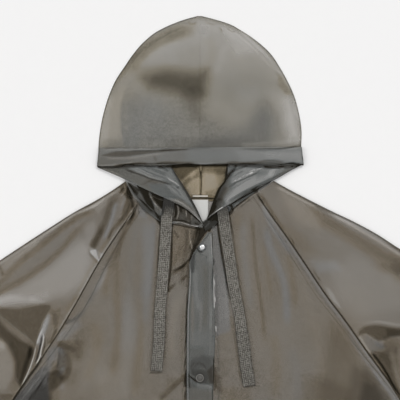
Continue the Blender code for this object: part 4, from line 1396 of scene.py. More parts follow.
PLACKET_MARKS: Marks = (
    # turned top corner and the shade inside it
    fold(2.2, .3, -.3, -.4, 19, -46, -7, -82, -13, -96, fade=(0, .2)),
    swell(1.6, .52, -.2, -.3, -15.5, -87, -8, -82, -8, -96, -9.5, -111.5, -13, -113, -15, -102.5),
    spot(3, -.1, -.8, 14, -51, 19, -50, 20, -96, 11, -96),
    spot(4, -.1, -.7, -2, -62, 14, -51, 14, -81, 5, -90),
    fold(1.5, -.26, -.8, .4, 17, -50, 19, -88, 20, -105),
    line(1.5, .62, -.1, 19, -49.5, 19, -62, 20, -77.5, fade=(.1, .3)),
    line(1.6, .62, -.4, 20, -102.5, 19, -130, 19.5, -145.5, fade=(.2, .3)),
    line(1.5, .2, 0, 20, -146, 20, -225),
    swell(.9, -.95, 0, .3, 16.5, -46.5, 19, -46, 19, -49, 17, -49.5),
    swell(.9, -.8, 0, .3, 19.5, -87.5, 22, -87, 22, -90, 20, -90),
    # dark arc round the lower left of the first snap: painted shadow of its rim
    line(1.2, 1.3, 0, -3, -67.5, -4.5, -71.5, -4.5, -75.5, .5, -81, 3.5, -81, 7, -79, fade=(.1, .25)),
    line(1.2, .2, 0, -1, -83, 9, -87, 13, -92),
    # soft lights and darks down the band
    fold(4.6, -.09, -.7, .4, -6, -105, -7, -132, -1, -174),
    fold(6, .07, .25, -.3, 8, -96, 9, -155, 6, -202),
    line(4, -.03, .5, -12, -140, -11, -232),
    fold(3, -.12, -1.2, .4, 18, -164, 16, -202),
    fold(4, -.06, .1, .4, 1, -155, 2, -183, -1, -211),
    spot(5, -.03, -.5, -12, -205, 20, -208, 20, -226, 5, -229, -12, -228),
    spot(5, .1, .1, -16, -226, 6, -229, 6, -242, -16, -242),
    # stiff fold above the second snap
    swell(4.6, .4, .1, -.2, -16, -251, -12, -244, 5, -241, 20, -243, 21, -285, 2, -282, -17, -272),
    spot(3, .26, .1, -12, -265, -2, -263, 9, -265, 12, -274, 11, -285, 0, -286, -10, -281, -14, -274),
    spot(4, .13, .4, -16, -291, 20, -296, 20, -322, -16, -322),
    spot(2.6, .4, .5, 11, -265, 20, -256, 22, -286, 15, -284),
    spot(2.4, .22, .1, -16, -257, -10, -250, -5, -253, -12, -268),
    fold(2.4, .24, .2, -.3, -8, -255, -2, -252, 6, -256, 10, -263),
    fold(1.4, -.3, .1, .3, -13, -262, -9, -255, -5, -252),
    fold(1.4, -.18, .1, .3, -2, -262, 4, -260, 10, -265),
    line(1.7, .75, .3, 21, -242, 22, -285, fade=(.15, 0)),
    fold(1.9, 1, .1, -.4, -18, -272, -12.5, -276, 0, -282.5, 7, -281.5, fade=(0, .2)),
    line(1.8, .45, .1, -17, -264, -17, -279, -16, -293),
    spot(2, .28, .1, -19, -276, -5, -279, -5, -291, -19, -291),
    fold(1.3, -.42, .2, .3, -17.5, -269.5, -12.5, -271.5, -6.5, -275.5),
    line(2, .2, 0, 5, -282, 12, -284, 22, -288, fade=(.1, 0)),
    fold(2.6, -.15, -.5, .5, -16, -278, -8, -285, 2, -286, 12, -288, 22, -292, fade=(0, 0)),
    line(1.5, .4, 0, 20, -287, 19, -299, 20, -316, fade=(.1, 0)),
    fold(1, -1.1, 0, .4, 21, -108.5, 22.5, -170.5, fade=(.25, .1)),
    fold(4, .15, 0, -.3, -14, -470, 0, -492, 16, -488),
    fold(4, .15, 0, -.3, -12, -668, 4, -694, 15, -690),
    fold(8, -.05, 0, .4, -6, -560, -4, -620, -8, -660),
    fold(8, .07, 0, -.3, 6, -740, 4, -800, 8, -860),
)


# ---------------- body

# How far the turned hem and cuffs reach up from the edge
HEM_BAND = 22.0


def hem_shade(past: np.ndarray) -> np.ndarray:
    """Return the shade of a doubled hem and its stitching, by the distance past the stitching."""
    return 0.16 * smooth(past / 1.5 + 0.5) + 0.2 * smooth(1.5 - np.abs(past))


@dataclass
class Front:
    """One front of the coat, from its raglan and side seam to its edge at the centre."""

    side: Side
    ramp_start: float = 26.0
    ramp_end: float = 50.0
    neck_rows: float = 70.0
    hem_rows: float = 90.0
    seam_out: float = 0.8
    neck_overlap: float = 2.5
    chest_width: float = 250.0
    seam_shade: float = 0.5

    def surface(self, places: np.ndarray, to_side: np.ndarray | float = 0.0) -> Finish:
        """Return the lift and tint of the front at places, with its base height in the lift.

        Args:
            places: x and y in millimetres, in any shape.
            to_side: 1 at the side seam below the underarm, 0 elsewhere.

        Returns:
            The finish, whose lift is the height of the film's middle.
        """
        finish = Finish.plain(places.shape[:-1], warmth=0.14)
        finish.add(FRONT_MARKS[self.side], places)
        finish.lift += UPPER_Z
        if self.side is Side.RIGHT:
            ramp = (self.ramp_end - places[..., 0]) / (self.ramp_end - self.ramp_start)
            finish.lift += (OVERLAP_Z - UPPER_Z) * np.clip(ramp, 0.0, 1.0)
        finish.lift = mix(finish.lift, SEAM_Z, smooth((np.asarray(to_side) - 0.9) / 0.1))
        return finish

    def edges(self) -> tuple[np.ndarray, np.ndarray]:
        """Return points down the raglan and side seam, and their partners at the centre."""
        seam = np.vstack([raglan(self.side), np.array(SIDE_SEAMS[self.side], float)])
        seam[:, 0] += self.side.outward * self.seam_out
        rows_y = np.array(CENTRE_ROWS_Y)
        if self.side is Side.LEFT:
            return seam, np.stack((np.full(len(rows_y), UNDERLAP_X), rows_y), axis=1)
        centre = np.stack((placket_edge(rows_y), rows_y), axis=1)
        centre[0] = PLACKET_CORNER
        return seam, centre

    def cloth(self) -> Cloth:
        """Return the front as a sheet."""
        seam, centre = self.edges()
        knots = travelled(seam)
        end = knots[-1]
        at = graded(((0, 1.1), (30, 2.0), (390, 2.2), (430, 8.0), (end - 30, 8.0), (end, 3.0)))
        share = graded(((0, .006), (.04, .008), (.2, .0095), (.94, .0095), (.985, .004), (1, .003)))
        places = spread(glide(knots, centre, at), glide(knots, seam, at), share)
        neck = np.array(NECK_LINES[self.side])
        sag = places[0, :, 1] - np.interp(places[0, :, 0], neck[:, 0], neck[:, 1]) - self.neck_overlap
        places[:, :, 1] -= sag[None, :] * fading(at, self.neck_rows)[:, None]
        dip = HEM_DROP * (1.0 - share - np.cos(math.pi / 2 * share))
        places[:, :, 1] += fading(end - at, self.hem_rows)[:, None] * dip[None, :]
        below_arm = smooth((at - knots[UNDERARM_ROW]) / 60.0)[:, None]
        finish = self.surface(places, share[None, :] * below_arm)
        finish.shade += hem_shade(HEM_Y + HEM_BAND - places[:, :, 1])
        from_seam = (1.0 - share[None, :]) * self.chest_width
        finish.shade += self.seam_shade * fading(from_seam, 1.6) * below_arm
        grid = stacked(places, finish.lift)
        finish.lift = np.zeros(places.shape[:2])
        return Cloth(f"front_{self.side.value}", grid, finish, Stuff.BODY, "film")


@dataclass
class Sleeve:
    """A raglan sleeve: a flattened tube, open along the raglan seams and at the cuff."""

    side: Side
    lap: float = 1.6
    seam_fold: float = 4.0
    seam_dip: float = 0.5
    seam_shade: float = 0.5
    still_edge: float = 6.0

    def cloth(self) -> Cloth:
        """Return the sleeve as a sheet rolled round the shoulder fold."""
        table = np.array(SLEEVES[self.side])
        knots = travelled(table[:, 2:4])
        end = knots[-1]
        at = graded(((0, 1.4), (60, 2.0), (400, 2.1), (440, 7.0), (end - 30, 7.5), (end, 3.0)))
        top, seam = glide(knots, table[:, :2], at), glide(knots, table[:, 2:4], at)
        lead = steady(knots, table[:, 4], at)
        open_to, shut_from = knots[UNDERARM_ROW - 1:UNDERARM_ROW + 1]
        shut = smooth((at - open_to) / (shut_from - open_to))[:, None]
        radius = (UPPER_Z - GROUND_Z) / 2
        middle = GROUND_Z + radius
        up = units(top - seam)
        centre = top - up * radius
        front_end = seam - up * self.lap * (1.0 - shut)
        back_end = seam + np.stack((lead, np.zeros(len(at))), axis=1)
        under = graded(((0, .02), (.1, .07), (.9, .08), (1, .04)))[:-1]
        over = graded(((0, .006), (.05, .011), (.9, .0105), (.97, .005), (1, .0035)))[1:]
        below, above = spread(back_end, centre, under), spread(centre, front_end, over)
        bend = rolled(centre, up, radius)
        places = np.concatenate((below, bend, above), axis=1)
        to_back, to_front = distances(below, back_end), distances(above, front_end)
        below_z = GROUND_Z + shut * (middle - GROUND_Z) * fading(to_back, self.seam_fold)
        above_z = UPPER_Z - shut * (UPPER_Z - middle) * fading(to_front, self.seam_fold)
        above_z -= (1 - shut) * self.seam_dip * fading(to_front, 5.0)
        bend_z = np.broadcast_to(middle + radius * np.sin(BEND), bend.shape[:2])
        finish = Finish.plain(places.shape[:2], shade=-0.03, warmth=0.16)
        first_over = len(under) + len(BEND)
        upper = np.zeros(places.shape[:2], bool)
        upper[:, first_over:] = True
        finish.add(SLEEVE_MARKS[self.side], places, upper)
        finish.shade[:, len(under):first_over] += 0.75 - 0.55 * smooth((np.sin(BEND) - 0.1) / 0.7)
        inside = np.minimum(to_front, distances(above, centre))
        finish.lift[:, first_over:] *= smooth(inside / self.still_edge)
        finish.shade += hem_shade(at - end + HEM_BAND)[:, None]
        finish.shade[:, first_over:] += self.seam_shade * fading(to_front, 1.8) * shut
        grid = stacked(places, np.concatenate((below_z, bend_z, above_z), axis=1))
        return Cloth(f"sleeve_{self.side.value}", grid, finish, Stuff.BODY, "film", weld=True)


@dataclass
class Body:
    """The back, the two fronts, the placket with its snaps, and the sleeves."""

    back_cut: tuple[float, float] = (0.700, 1.010)
    front_cut: tuple[float, float] = (0.370, 1.010)
    sleeve_cut: tuple[float, float] = (0.640, 0.800)
    placket_cut: tuple[float, float] = (0.046, 0.946)
    back_neck_y: float = 6.5
    hem_rows: float = 90.0
    cap_seat: float = PLACKET_Z + 0.85

    def back(self) -> Cloth:
        """Return the back, flat on the board."""
        rails = []
        for side in (Side.LEFT, Side.RIGHT):
            table = np.array(SLEEVES[side][:UNDERARM_ROW + 1])
            seam = table[:, 2:4] + np.stack((table[:, 4] + side.outward * 1.2, table[:, 4] * 0), axis=1)
            rails.append(np.vstack([seam, np.array(SIDE_SEAMS[side], float)]))
        knots = (travelled(rails[0]) + travelled(rails[1])) / 2
        end = knots[-1]
        at = graded(((0, 4.0), (390, 5.0), (430, 9.0), (end - 30, 9.0), (end, 4.0)))
        left, right = glide(knots, rails[0], at), glide(knots, rails[1], at)
        share = graded(((0, .003), (.02, .012), (.1, .02), (.9, .02), (.98, .012), (1, .003)))
        places = spread(left, right, share)
        dip = HEM_DROP * np.sin(math.pi * share)
        places[:, :, 1] -= fading(end - at, self.hem_rows)[:, None] * dip[None, :]
        nearer = np.minimum(share, 1.0 - share)[None, :]
        raised = smooth(nearer / 0.08) * fading(at, 40.0)[:, None]
        places[:, :, 1] += raised * (self.back_neck_y - places[:1, :, 1])
        edge = nearer * np.linalg.norm(right - left, axis=1)[:, None]
        above_arm = smooth((knots[UNDERARM_ROW] - at) / 30.0)[:, None]
        finish = Finish.plain(places.shape[:2])
        left_half = smooth((0.5 - share[None, :]) * 50.0)
        finish.shade += 0.3 * left_half * fading(edge, 2.6)
        finish.shade += hem_shade(HEM_Y + HEM_BAND - places[:, :, 1])
        grid = stacked(places, GROUND_Z + above_arm * LAP * fading(edge, 4.0))
        return Cloth("back", grid, finish, Stuff.BODY, "film")

    def placket(self) -> Cloth:
        """Return the band of doubled film that closes the centre front."""
        table = np.array(PLACKET)
        knots = -table[:, 0]
        at = graded(((knots[0], 1.0), (60, 1.4), (310, 1.8), (340, 6.0), (knots[-1], 7.0)))
        left, right = steady(knots, table[:, 1], at), glide(knots, table[:, 2], at)
        share = np.concatenate((PLACKET_SHARES, [0.5], 1.0 - PLACKET_SHARES[::-1]))
        x = mix(left[:, None], right[:, None], share[None, :])
        places = level_rows(x, -at)
        finish = Finish.plain(x.shape, shade=-0.02, warmth=-0.40)
        from_left = x - left[:, None]
        from_right = right[:, None] - x
        straight = smooth((at - 100.0) / 12.0)[:, None]
        for inset, half_width, shade in PLACKET_LINES:
            finish.shade += shade * smooth(1.5 - np.abs(from_left - inset) / half_width) * straight
        finish.shade += 0.50 * smooth(1.5 - from_right / 0.9)
        finish.lift += 0.55 * smooth(from_left / 3.0) * smooth(from_right / 3.0)
        finish.add(PLACKET_MARKS, places)
        finish.shade += hem_shade(at - knots[-1] + HEM_BAND)[:, None]
        grid = stacked(places, np.full(x.shape, PLACKET_Z - 0.2))
        return Cloth("placket", grid, finish, Stuff.EDGE, "casing", thickness=0.7)

    def snaps(self) -> list[bpy.types.Object]:
        """Build the caps of the closed snaps on the placket.

        Returns:
            The caps.
        """
        rim = ((0.0, 0.0), (6.2, 0.0), (6.25, 0.35), (6.0, 0.75), (5.5, 0.9), (5.0, 0.8), (4.6, 0.62))
        bright = rim + ((3.9, 0.62), (3.6, 1.2), (3.1, 1.55), (1.6, 1.72), (0.0, 1.75))
        covered = rim + ((3.8, 0.9), (2.6, 1.25), (1.2, 1.42), (0.0, 1.46))
        caps = []
        for number, place in enumerate(SNAPS, start=1):
            metal = number == 1
            cap = turned(f"snap_cap_{number}", bright if metal else covered, place, self.cap_seat)
            self.tint_cap(cap, place, metal)
            caps.append(register(cap, Stuff.BRIGHT if metal else Stuff.CAP, [f"snap_{number}"]))
        return caps

    @staticmethod
    def tint_cap(cap: bpy.types.Object, place: tuple[float, float], metal: bool) -> None:
        """Paint shade into a cap's groove and onto its outer wall, and leave its rim light."""
        coordinates = np.empty(len(cap.data.vertices) * 3, np.float32)
        cap.data.vertices.foreach_get("co", coordinates)
        offset = coordinates.reshape(-1, 3)[:, :2] / MM - ORIGIN[:2] - np.array(place)
        radius = np.hypot(offset[:, 0], offset[:, 1])
        shade = fading(np.abs(radius - 4.3), 0.7) + smooth((radius - 5.9) / 0.3)
        if metal:
            shade += 0.92 * smooth((radius - 3.7) / 0.3)
        else:
            shade += 0.55 * smooth((4.9 - radius) / 0.5)
        store(cap.data, "shade", shade)

    def build(self) -> None:
        """Build every piece of the body."""
        back = self.back()
        back.build()
        for side in Side:
            front = Front(side).cloth()
            front.build()
            sleeve = Sleeve(side).cloth()
            sleeve.build()
        band = self.placket()
        band.build()
        self.snaps()


# ---------------- marks of the hood

CROWN_MARKS: Marks = (
    # pale painted glow outside the soft upright boundary, and painted shade in the cool hollow inside it
    spot(7, -.12, .6, -154, 96, -140, 152, -122, 177, -115, 174, -122, 136, -121, 96),
    swell(26, .13, -.5, 1, -102, 155, -84, 158, -28, 146, 16, 115, 9, 82, -113, 82, -112, 146),
    spot(9, .05, -.4, -118, 149, -105, 155, -96, 136, -96, 82, -113, 82, -119, 127),
    spot(4, -.15, .3, -160, 81, -158, 112, -151, 136, -141, 161, -133, 161, -140, 136, -144, 81),
    line(9, .24, .9, -139, 167, -92, 228, -37, 264, -16, 272, far=3, fade=(.3, .2)),
    line(5, -.26, 0, 56, 266, 78, 249, 133, 184, 144, 163),
    fold(5.4, .11, -.6, -.6, -102, 186, -115, 164, -118, 99, -113, 82, fade=(.5, .05)),
    swell(18, -.04, -.5, .8, -93, 161, -62, 161, -53, 143, -62, 124, -90, 127),
    # olive band inside the upper left of the outline
    fold(15, .33, 1.4, -.8, -5, 271, -78, 236, -125, 186, fade=(.2, .35)),
    spot(9, -.16, .2, 102, 170, 126, 170, 132, 146, 119, 135),
    spot(10, .07, .2, -37, 236, 0, 239, 3, 211, -34, 208),
    spot(8, .1, .7, -6, 276, -50, 259, -53, 242, -31, 245, -12, 254, -6, 264),
    spot(8, -.04, -.2, -8, 273, 3, 276, 16, 270, 12, 251, -3, 253),
    fold(2.2, -.14, .4, .4, -126, 188, -108, 211, -93, 226, -78, 240, -65, 246, fade=(.1, .4)),
    fold(12, -.04, 0, .6, -16, 246, -43, 239, -93, 208, fade=(.3, .3)),
    # long soft dark patch with a firm right end
    swell(15, .65, 1.8, -1.6, -85, 189, -73, 199, -53, 203, -6, 198, 11, 202, 12, 189, 6, 164, -9, 160,
          -79, 175),
    swell(16, .3, .4, -.5, -25, 167, 6, 167, 1, 121, -12, 127, -25, 146),
    spot(13, .12, -.2, 6, 130, 34, 127, 50, 105, 34, 90, 6, 93),
    fold(8, -.04, .1, 1.6, 23, 204.5, 15.5, 190.5, 3.5, 139.5, far=4.5, fade=(.4, .4)),
    fold(14, .06, .4, -.6, 14, 254, 19, 232, 14, 208),
    fold(10, -.06, 0, .8, 42, 242, 25, 192),
    # upper right
    fold(3.2, -.12, .3, .5, 50, 262, 62, 253, 96, 222, 112, 205, 122, 198, fade=(.3, .05)),
    swell(2.6, .08, -.1, -.3, 56, 262, 81, 250, 98, 234, 113, 216, 124, 198, 118, 200, 102, 217, 65, 250),
    swell(22, .05, -.4, 1, 50, 208, 81, 223, 99, 208, 108, 180, 105, 164, 62, 155, 40, 158, 34, 180),
    swell(4, .16, .9, -.4, 121, 195, 130, 192, 143, 163, 133, 163, 122, 177),
    # right edge glow and the shade inside it
    swell(12, -.48, .5, .6, 130, 158, 140, 160, 152, 133, 157, 93, 138, 93, 129, 121),
    swell(16, .24, -.6, -1, 93, 144, 104, 143, 113, 127, 112, 82, -6, 81, 71, 113),
    spot(16, -.02, 0, 8, 155, 56, 161, 78, 149, 62, 124, 19, 112, 6, 127),
    spot(12, -.1, -.2, 59, 174, 87, 177, 96, 158, 81, 146, 59, 152),
    swell(7, .15, 0, -.4, -46, 98, 155, 88, 157, 76, -155, 76, -150, 90),
    spot(3, -.17, 0, 65, 88.5, 155, 94.5, 155, 83.5, 65, 80.5),
    spot(4, -.1, 0, -118, 93, -54, 93, -54, 81, -118, 81),
    line(1.3, .6, .1, 133.5, 81, 159.5, 85, fade=(.2, 0)),
    spot(8, -.14, 0, 34, 271, 68, 265, 96, 232, 56, 223),
    spot(7, .13, .3, -102, 208, -81, 208, -81, 183, -99, 183),
    spot(3, -.16, .1, 143, 158, 152, 155, 158, 130, 154, 121, 146, 136),
    # puckers by the peak
    fold(2.2, .3, .4, -.4, -19, 276, -11, 272, -5, 276),
    fold(2, .18, .4, -.3, 6, 279, 14, 273, 25, 272),
    fold(1.6, .3, .4, -.3, 29, 267, 34, 262, 31, 259),
    fold(1.6, .25, .2, -.3, 42, 267, 48, 261, 56, 261),
)

CASING_MARKS: Marks = (
    # stitched top edge, broken up by the light
    fold(1.4, .36, .3, -.3, -150.5, 79.5, -136.5, 80.5, -127, 80, fade=(.3, .3)),
    line(1.3, .28, .2, -122, 80, -107, 81, fade=(.3, .3)),
    line(1.3, .24, .2, -104, 80, -90, 81, fade=(.3, .3)),
    line(1.3, .14, .2, -85, 80, -62, 81, fade=(.3, .3)),
    fold(1.6, -.12, .1, .3, -149, 77, -62, 79, fade=(.05, .2)),
    # long crease
    swell(1.1, .46, .5, -.8, -152, 69, -138, 73.5, -128.5, 75, -68, 76, -54, 78, -18.5, 79, -18.5, 77.5,
          -37, 76.5, -70, 73.5, -116, 67.5, -136.5, 67),
    fold(1.4, .5, .1, -.5, -110, 75.5, -93, 76, -59, 76.5, -15.5, 78.5, 1.5, 79, fade=(.1, .4)),
    line(1.7, .28, .1, -64, 78, -50, 79, -36, 78, fade=(.3, .3)),
    fold(3, -.12, .4, .8, -150, 65, -127, 64, -54, 72),
    fold(3.2, .2, 0, -.3, -25, 80, 23, 82, fade=(.3, .3)),
    fold(1.4, .7, .1, -.6, 56, 79, 80.5, 78.5, 111.5, 79.5, 130, 80, 142.5, 82, 159.5, 84.5, fade=(.5, 0)),
    line(1.8, .16, 0, 81, 76, 130, 78, fade=(.4, .2)),
    line(1.4, -.2, 0, 102, 81, 124, 82, 155, 86, fade=(.3, .1)),
    line(1.4, -.18, -.2, 135, 78, 160, 82),
    spot(7, -.08, -.8, 96, 74, 155, 78, 158, 60, 105, 64),
    spot(5, .06, .2, -161, 68, -112, 67, -105, 59, -127, 50, -161, 50),
    spot(4, 0, .3, -112, 65, -78, 67, -73, 60, -105, 57),
    spot(8, -.06, -.3, -22, 78, 56, 78, 56, 59, -22, 59),
    spot(6, -.14, -.5, 56, 77, 161, 76, 161, 57, 62, 59),
    fold(4, .1, .3, -.4, -74, 68, -68, 64, -71, 59),
    # rolled lower edge: a painted highlight on its rim, then brown painted shade down to the fold
    fold(1.4, -.26, .2, .3, -157, 53, -140, 54, -98, 59, fade=(0, .2)),
    line(2.8, .36, .6, -136, 52, -105, 56, -90, 57, -78, 55),
    line(1.9, .8, .2, -136.5, 53, -99, 56, -77.5, 56, -62, 56.5, -28, 56.5),
    line(1.9, .66, .2, 59, 56.5, 77.5, 56.5, 118, 56.5, 133.5, 54.5),
    line(1.6, -.3, 0, -5, 55, 43, 55),
    line(1.4, -.1, .2, -75, 55, -72, 57, -70, 56),
    line(2.6, .38, .6, -70, 56, -59, 58, -43, 58, -6, 57),
    line(2, -.12, -.2, -6, 57, 9, 56, 22, 58),
    fold(3, .34, .6, -.3, 34, 56, 50, 58, 68, 57, 87, 58, 105, 61, 121, 60, 135, 56),
    spot(1, .95, .1, 132, 56.5, 142.5, 58.5, 160.5, 55.5, 160.5, 52, 139.5, 52.5),
)

# Painted shadow under the casing's lower edge, on each piece that lies there
SHADOW_UNDER_CASING = line(
    4.4, .88, .3, -159.5, 51.5, -127, 51.5, -113, 52.5, -71.5, 53.5, -46.5, 52.5, -16.5, 54, 56, 54,
    122.5, 52, 139.5, 53.5, 160.5, 52, fade=(0, 0),
)

LEFT_LAPEL_TOP_MARKS: Marks = (
    SHADOW_UNDER_CASING,
    spot(5, .06, .35, -158, 51, -113, 51, -34, 20, -3, -25, -46, 0),
    fold(2, .66, .1, -.9, -121, 49.5, -114.5, 47.5, -108.5, 44.5, -83.5, 35.5, -77.5, 32.5, -71.5, 31.5,
         -65, 29.5, -40.5, 22.5),
    fold(2.6, -.24, -.3, 1, -115, 51, -105, 48, -78, 36, -56, 30),
    fold(1.3, .26, .1, -.4, -93, 50, -78, 42, -53, 33, -45, 29),
    fold(1.3, -.22, -.2, .4, -105, 52, -87, 44, -71, 37),
    spot(5, -.03, -.9, -78, 24, -50, 23, -34, 3, -50, 2, -71, 12),
    line(2.6, .34, .2, -68, 51, -56, 50, -46, 51, -43, 48),
    spot(3, -.07, -.4, -99, 52, -50, 51, -40, 34, -37, 25, -62, 34),
    line(4, .18, .2, -84, 34, -78, 29, -71, 28, -65, 25),
    fold(4, .22, -.1, -.6, -88, 53, -74, 48, -62, 42, -50, 40),
    fold(2.6, .4, .2, -.6, -67, 52, -57, 49, -48, 44),
    fold(1.6, .3, .2, -.4, -73, 32, -83, 26, -94, 23),
    spot(5, 0, -.7, -65, 53, -45, 50, -34, 29, -40, 25, -62, 34, -78, 45),
    fold(2.2, -.3, -.8, .5, -54, 37, -45, 30, -36, 25, -31, 18, fade=(.3, .2)),
    fold(2.2, .16, -.6, -.4, -46, 21, -37, 16, -29, 6),
    swell(3.4, -.22, -1.2, .6, -53, 24, -33, 20, -12, -9, -43, 12),
    spot(.9, .6, -.3, -36.5, 21, -32.5, 21, -32.5, 18, -36, 18.5),
    fold(2.6, .14, -.1, -.4, -150, 49, -130, 43, -113, 35),
    spot(2, .17, 0, -140, 50, -112, 50, -99, 45, -108, 40, -133, 44),
    fold(2.6, -.3, .1, .8, -59, 7, -43, 1, -33, -3, -11, -19, 0, -33, fade=(.4, 0)),
)

RIGHT_LAPEL_TOP_MARKS: Marks = (
    SHADOW_UNDER_CASING,
    # blue sheen with broken glints along its ridge
    spot(4, -.16, -.9, 51, 50, 71, 53, 96, 53, 105, 46, 67, 26, 50, 22, 46, 31),
    swell(6, -.34, -.45, .5, 56, 22, 99, 43, 118, 50, 112, 34, 36, -9, 40, 3),
    fold(2.4, -.12, -.6, 1, 96, 50, 80, 41, 46, 25),
    fold(1.2, -.35, -.3, .3, 52.5, 29, 56.5, 31),
    fold(1.2, -.3, -.3, .3, 59, 32, 64, 35),
    fold(1.2, -.25, -.3, .3, 65, 36, 70, 39),
    fold(1.2, -.4, -.3, .3, 70.5, 38, 76.5, 41),
    fold(1.3, -.85, -.3, .4, 76, 40.5, 82, 43),
    fold(1.1, -.5, -.3, .3, 76, 43.5, 86, 47.5),
    fold(1.6, -.35, -.3, .3, 86, 47, 98, 50),
    fold(1.5, .55, -.2, -.5, 91.5, 43, 46.5, 23),
    line(1.4, .4, 0, 56, 25.5, 43.5, 19.5),
    fold(1.6, .16, -.4, -.4, 87, 38, 56, 21, 45, 14, fade=(.3, .3)),
    fold(2.6, .3, .2, -.4, 96, 53, 108, 50, 133, 52),
    spot(4, .1, -.2, 83.5, 40.5, 105.5, 43.5, 99, 34, 87, 31),
    fold(1.4, .22, -.6, -.4, 67, 46, 59, 41, 50, 34),
    fold(1.6, .55, -.1, -.5, 74.5, 53.5, 62, 49, 54, 46, 49, 42.5),
    line(2, .7, .1, 77, 15, 92, 21.5),
    line(6, .32, .5, 42, 22, 29, -2),
    line(4, .26, 0, 78, 16, 51, 2, 43, -4),
    spot(2.4, -.12, -.1, 108, 47, 132, 49, 126, 42, 112, 36, 105, 37),
    spot(3, .11, -.2, 87, 47, 105, 47, 105, 39, 90, 38),
    line(5, .5, 0, 156.5, 52.5, 118, 34.5, 62, 7, 49.5, -1.5, fade=(0, .25)),
    # painted shade on the inner side by the rolled fold, with a paler strip at its top
    fold(16.5, .84, .05, -.3, 43, 54, 8, -29, far=3, fade=(0, 0)),
    line(4, .3, .2, 25, -6, 22, -14, 16, -22, fade=(.3, .1)),
    fold(3, .8, .1, -.4, 56, 53.5, 53.5, 48.5, 50, 44.5, 39, 30, 32.5, 20, fade=(0, .3)),
    spot(1, -.6, -.4, 44, 53.5, 50, 53.5, 47.5, 47, 44, 42.5, 43, 47),
    fold(1.4, -.85, .1, .4, 36.5, -10.5, 29.5, -14.5, 21.5, -20.5, 8.5, -30.5, fade=(.1, 0)),
    spot(2.6, .34, .2, 22, 0, 34, 3, 40, -5, 16, -23, 9, -26),
    line(2.2, .6, .2, 145.5, 52.5, 138, 49.5, 130, 49.5),
)

LAPEL_TOP_MARKS = {Side.LEFT: LEFT_LAPEL_TOP_MARKS, Side.RIGHT: RIGHT_LAPEL_TOP_MARKS}

LEFT_LAPEL_UNDER_MARKS: Marks = (
    # neck band, its pale top corner and the crease down its middle
    swell(1.6, .58, .2, .6, -111.5, 26.5, -99, 21, -91.5, 13, -76, -11, -68, -20, -76, -17.5, -85, -8.5,
          -93, .5, -107, 19),
    fold(2.5, .66, .1, -.8, -112, 27.5, -106, 17.5, -101.5, 9.5, -96, 2.5, -90, -2.5, -75, -15,
         fade=(.05, .3)),
    fold(1.4, -.14, .1, .5, -105, 24, -82, -7),
    spot(2, .6, .1, -99, 1.5, -93, -2, -65, -23, -62, -31, -73, -22.5, -80.5, -19, -90, -11),
    spot(1.2, -.26, .2, -112, 25, -102, 6, -96, -2, -99, -5, -103, 2, -108, 11),
    spot(1.8, .4, .3, -114, 28, -102, 24, -94, 16, -97, 6, -105, 14),
    # painted shadow in the hollow under the free edge
    spot(1.2, 1.25, .3, -98.5, 23, -79, 15, -77.5, 4.5, -73.5, -3, -71.5, -9.5, -70, -17.5, -82, -5.5,
         -86, 1, -89, 8, -94, 15),
    spot(1.1, 1, .1, -79.5, 15, -37, -3, -15.5, -15, 2, -31, 3, -37, -21.5, -16, -37, -8, -52.5, -1.5,
         -65, 2.5, -75.5, 7.5),
    swell(1.6, 1, 1.2, -.5, -75, 7, -55, -2, -55, -14, -60.5, -14, -73, 0),
    spot(1.8, .85, .1, -70.5, -17.5, -62, -24, -56.5, -23, -57.5, -39, -62, -34, -67.5, -25.5),
    fold(1.2, -.46, .6, 1.2, -81, 13.5, -78, 7, -74, 1.5, -67.5, -8.5, fade=(.2, 0)),
    fold(2, -.1, .3, 1, -69, -6, -65, -11, -56, -20, fade=(0, .1)),
    fold(1.4, -.4, .6, .4, -54.5, 1.5, -54, -6, -54.5, -17),
    spot(1.5, .34, .4, -73, -9, -62, -14, -62, -22, -70, -17),
    # gathers beside the drawcord, with painted shade between them and painted highlights on their ridges
    spot(1.5, .76, .7, -57.5, .5, -46.5, -1.5, -37, -5.5, -21.5, -14, -14.5, -18.5, -14.5, -39, -45, -32,
         -57.5, -23),
    spot(1.6, .56, .3, -15.5, -18, 1.5, -31.5, -1.5, -40.5, -15.5, -39),
    fold(2.6, .5, .2, -.5, -38, -7, -37, -16, -39, -29),
    line(2.4, .35, .2, -43, -3, -44, -17),
    fold(3.2, .24, .8, -.4, -30, -9, -29, -20),
    fold(2.4, .3, .2, -.4, -18, -16, -17, -34),
    line(2.2, .5, .1, -9, -35, -3, -38, 2, -36),
    fold(1.4, -1.2, .8, 1.2, -36.5, -5, -34.5, -10, -33, -15.5, -35, -27, -37, -31.5),
    fold(1.2, -1.05, .8, .7, -42.5, -15, -40, -18.5, -40.5, -24, -43, -27.5),
    fold(1.2, -1.2, .7, .9, -23, -11, -21.5, -16.5, -21.5, -29, fade=(.1, .3)),
    line(2.6, -.18, 1.4, -26, -13, -25, -21),
    spot(1.6, -.2, -.2, -32, -23, -23, -21, -23, -29, -31, -30),
    spot(1.4, -.3, .4, -20, -18, -10, -19, -11, -26, -15, -33, -19, -33),
    fold(1.6, -.24, .3, .4, -12, -22, -2, -34),
    line(1.5, .4, 0, -45, -32, -35.5, -31.5, -26.5, -32, -15.5, -35.5),
    fold(1.5, -.95, -.1, 1.2, -45.5, -34.5, -37, -34, -29.5, -34.5, -15.5, -39, -6, -41, -2, -40.5,
         fade=(.35, .05)),
    line(1.3, .4, 0, -43.5, -37, -31, -37, -8, -42.5),
)

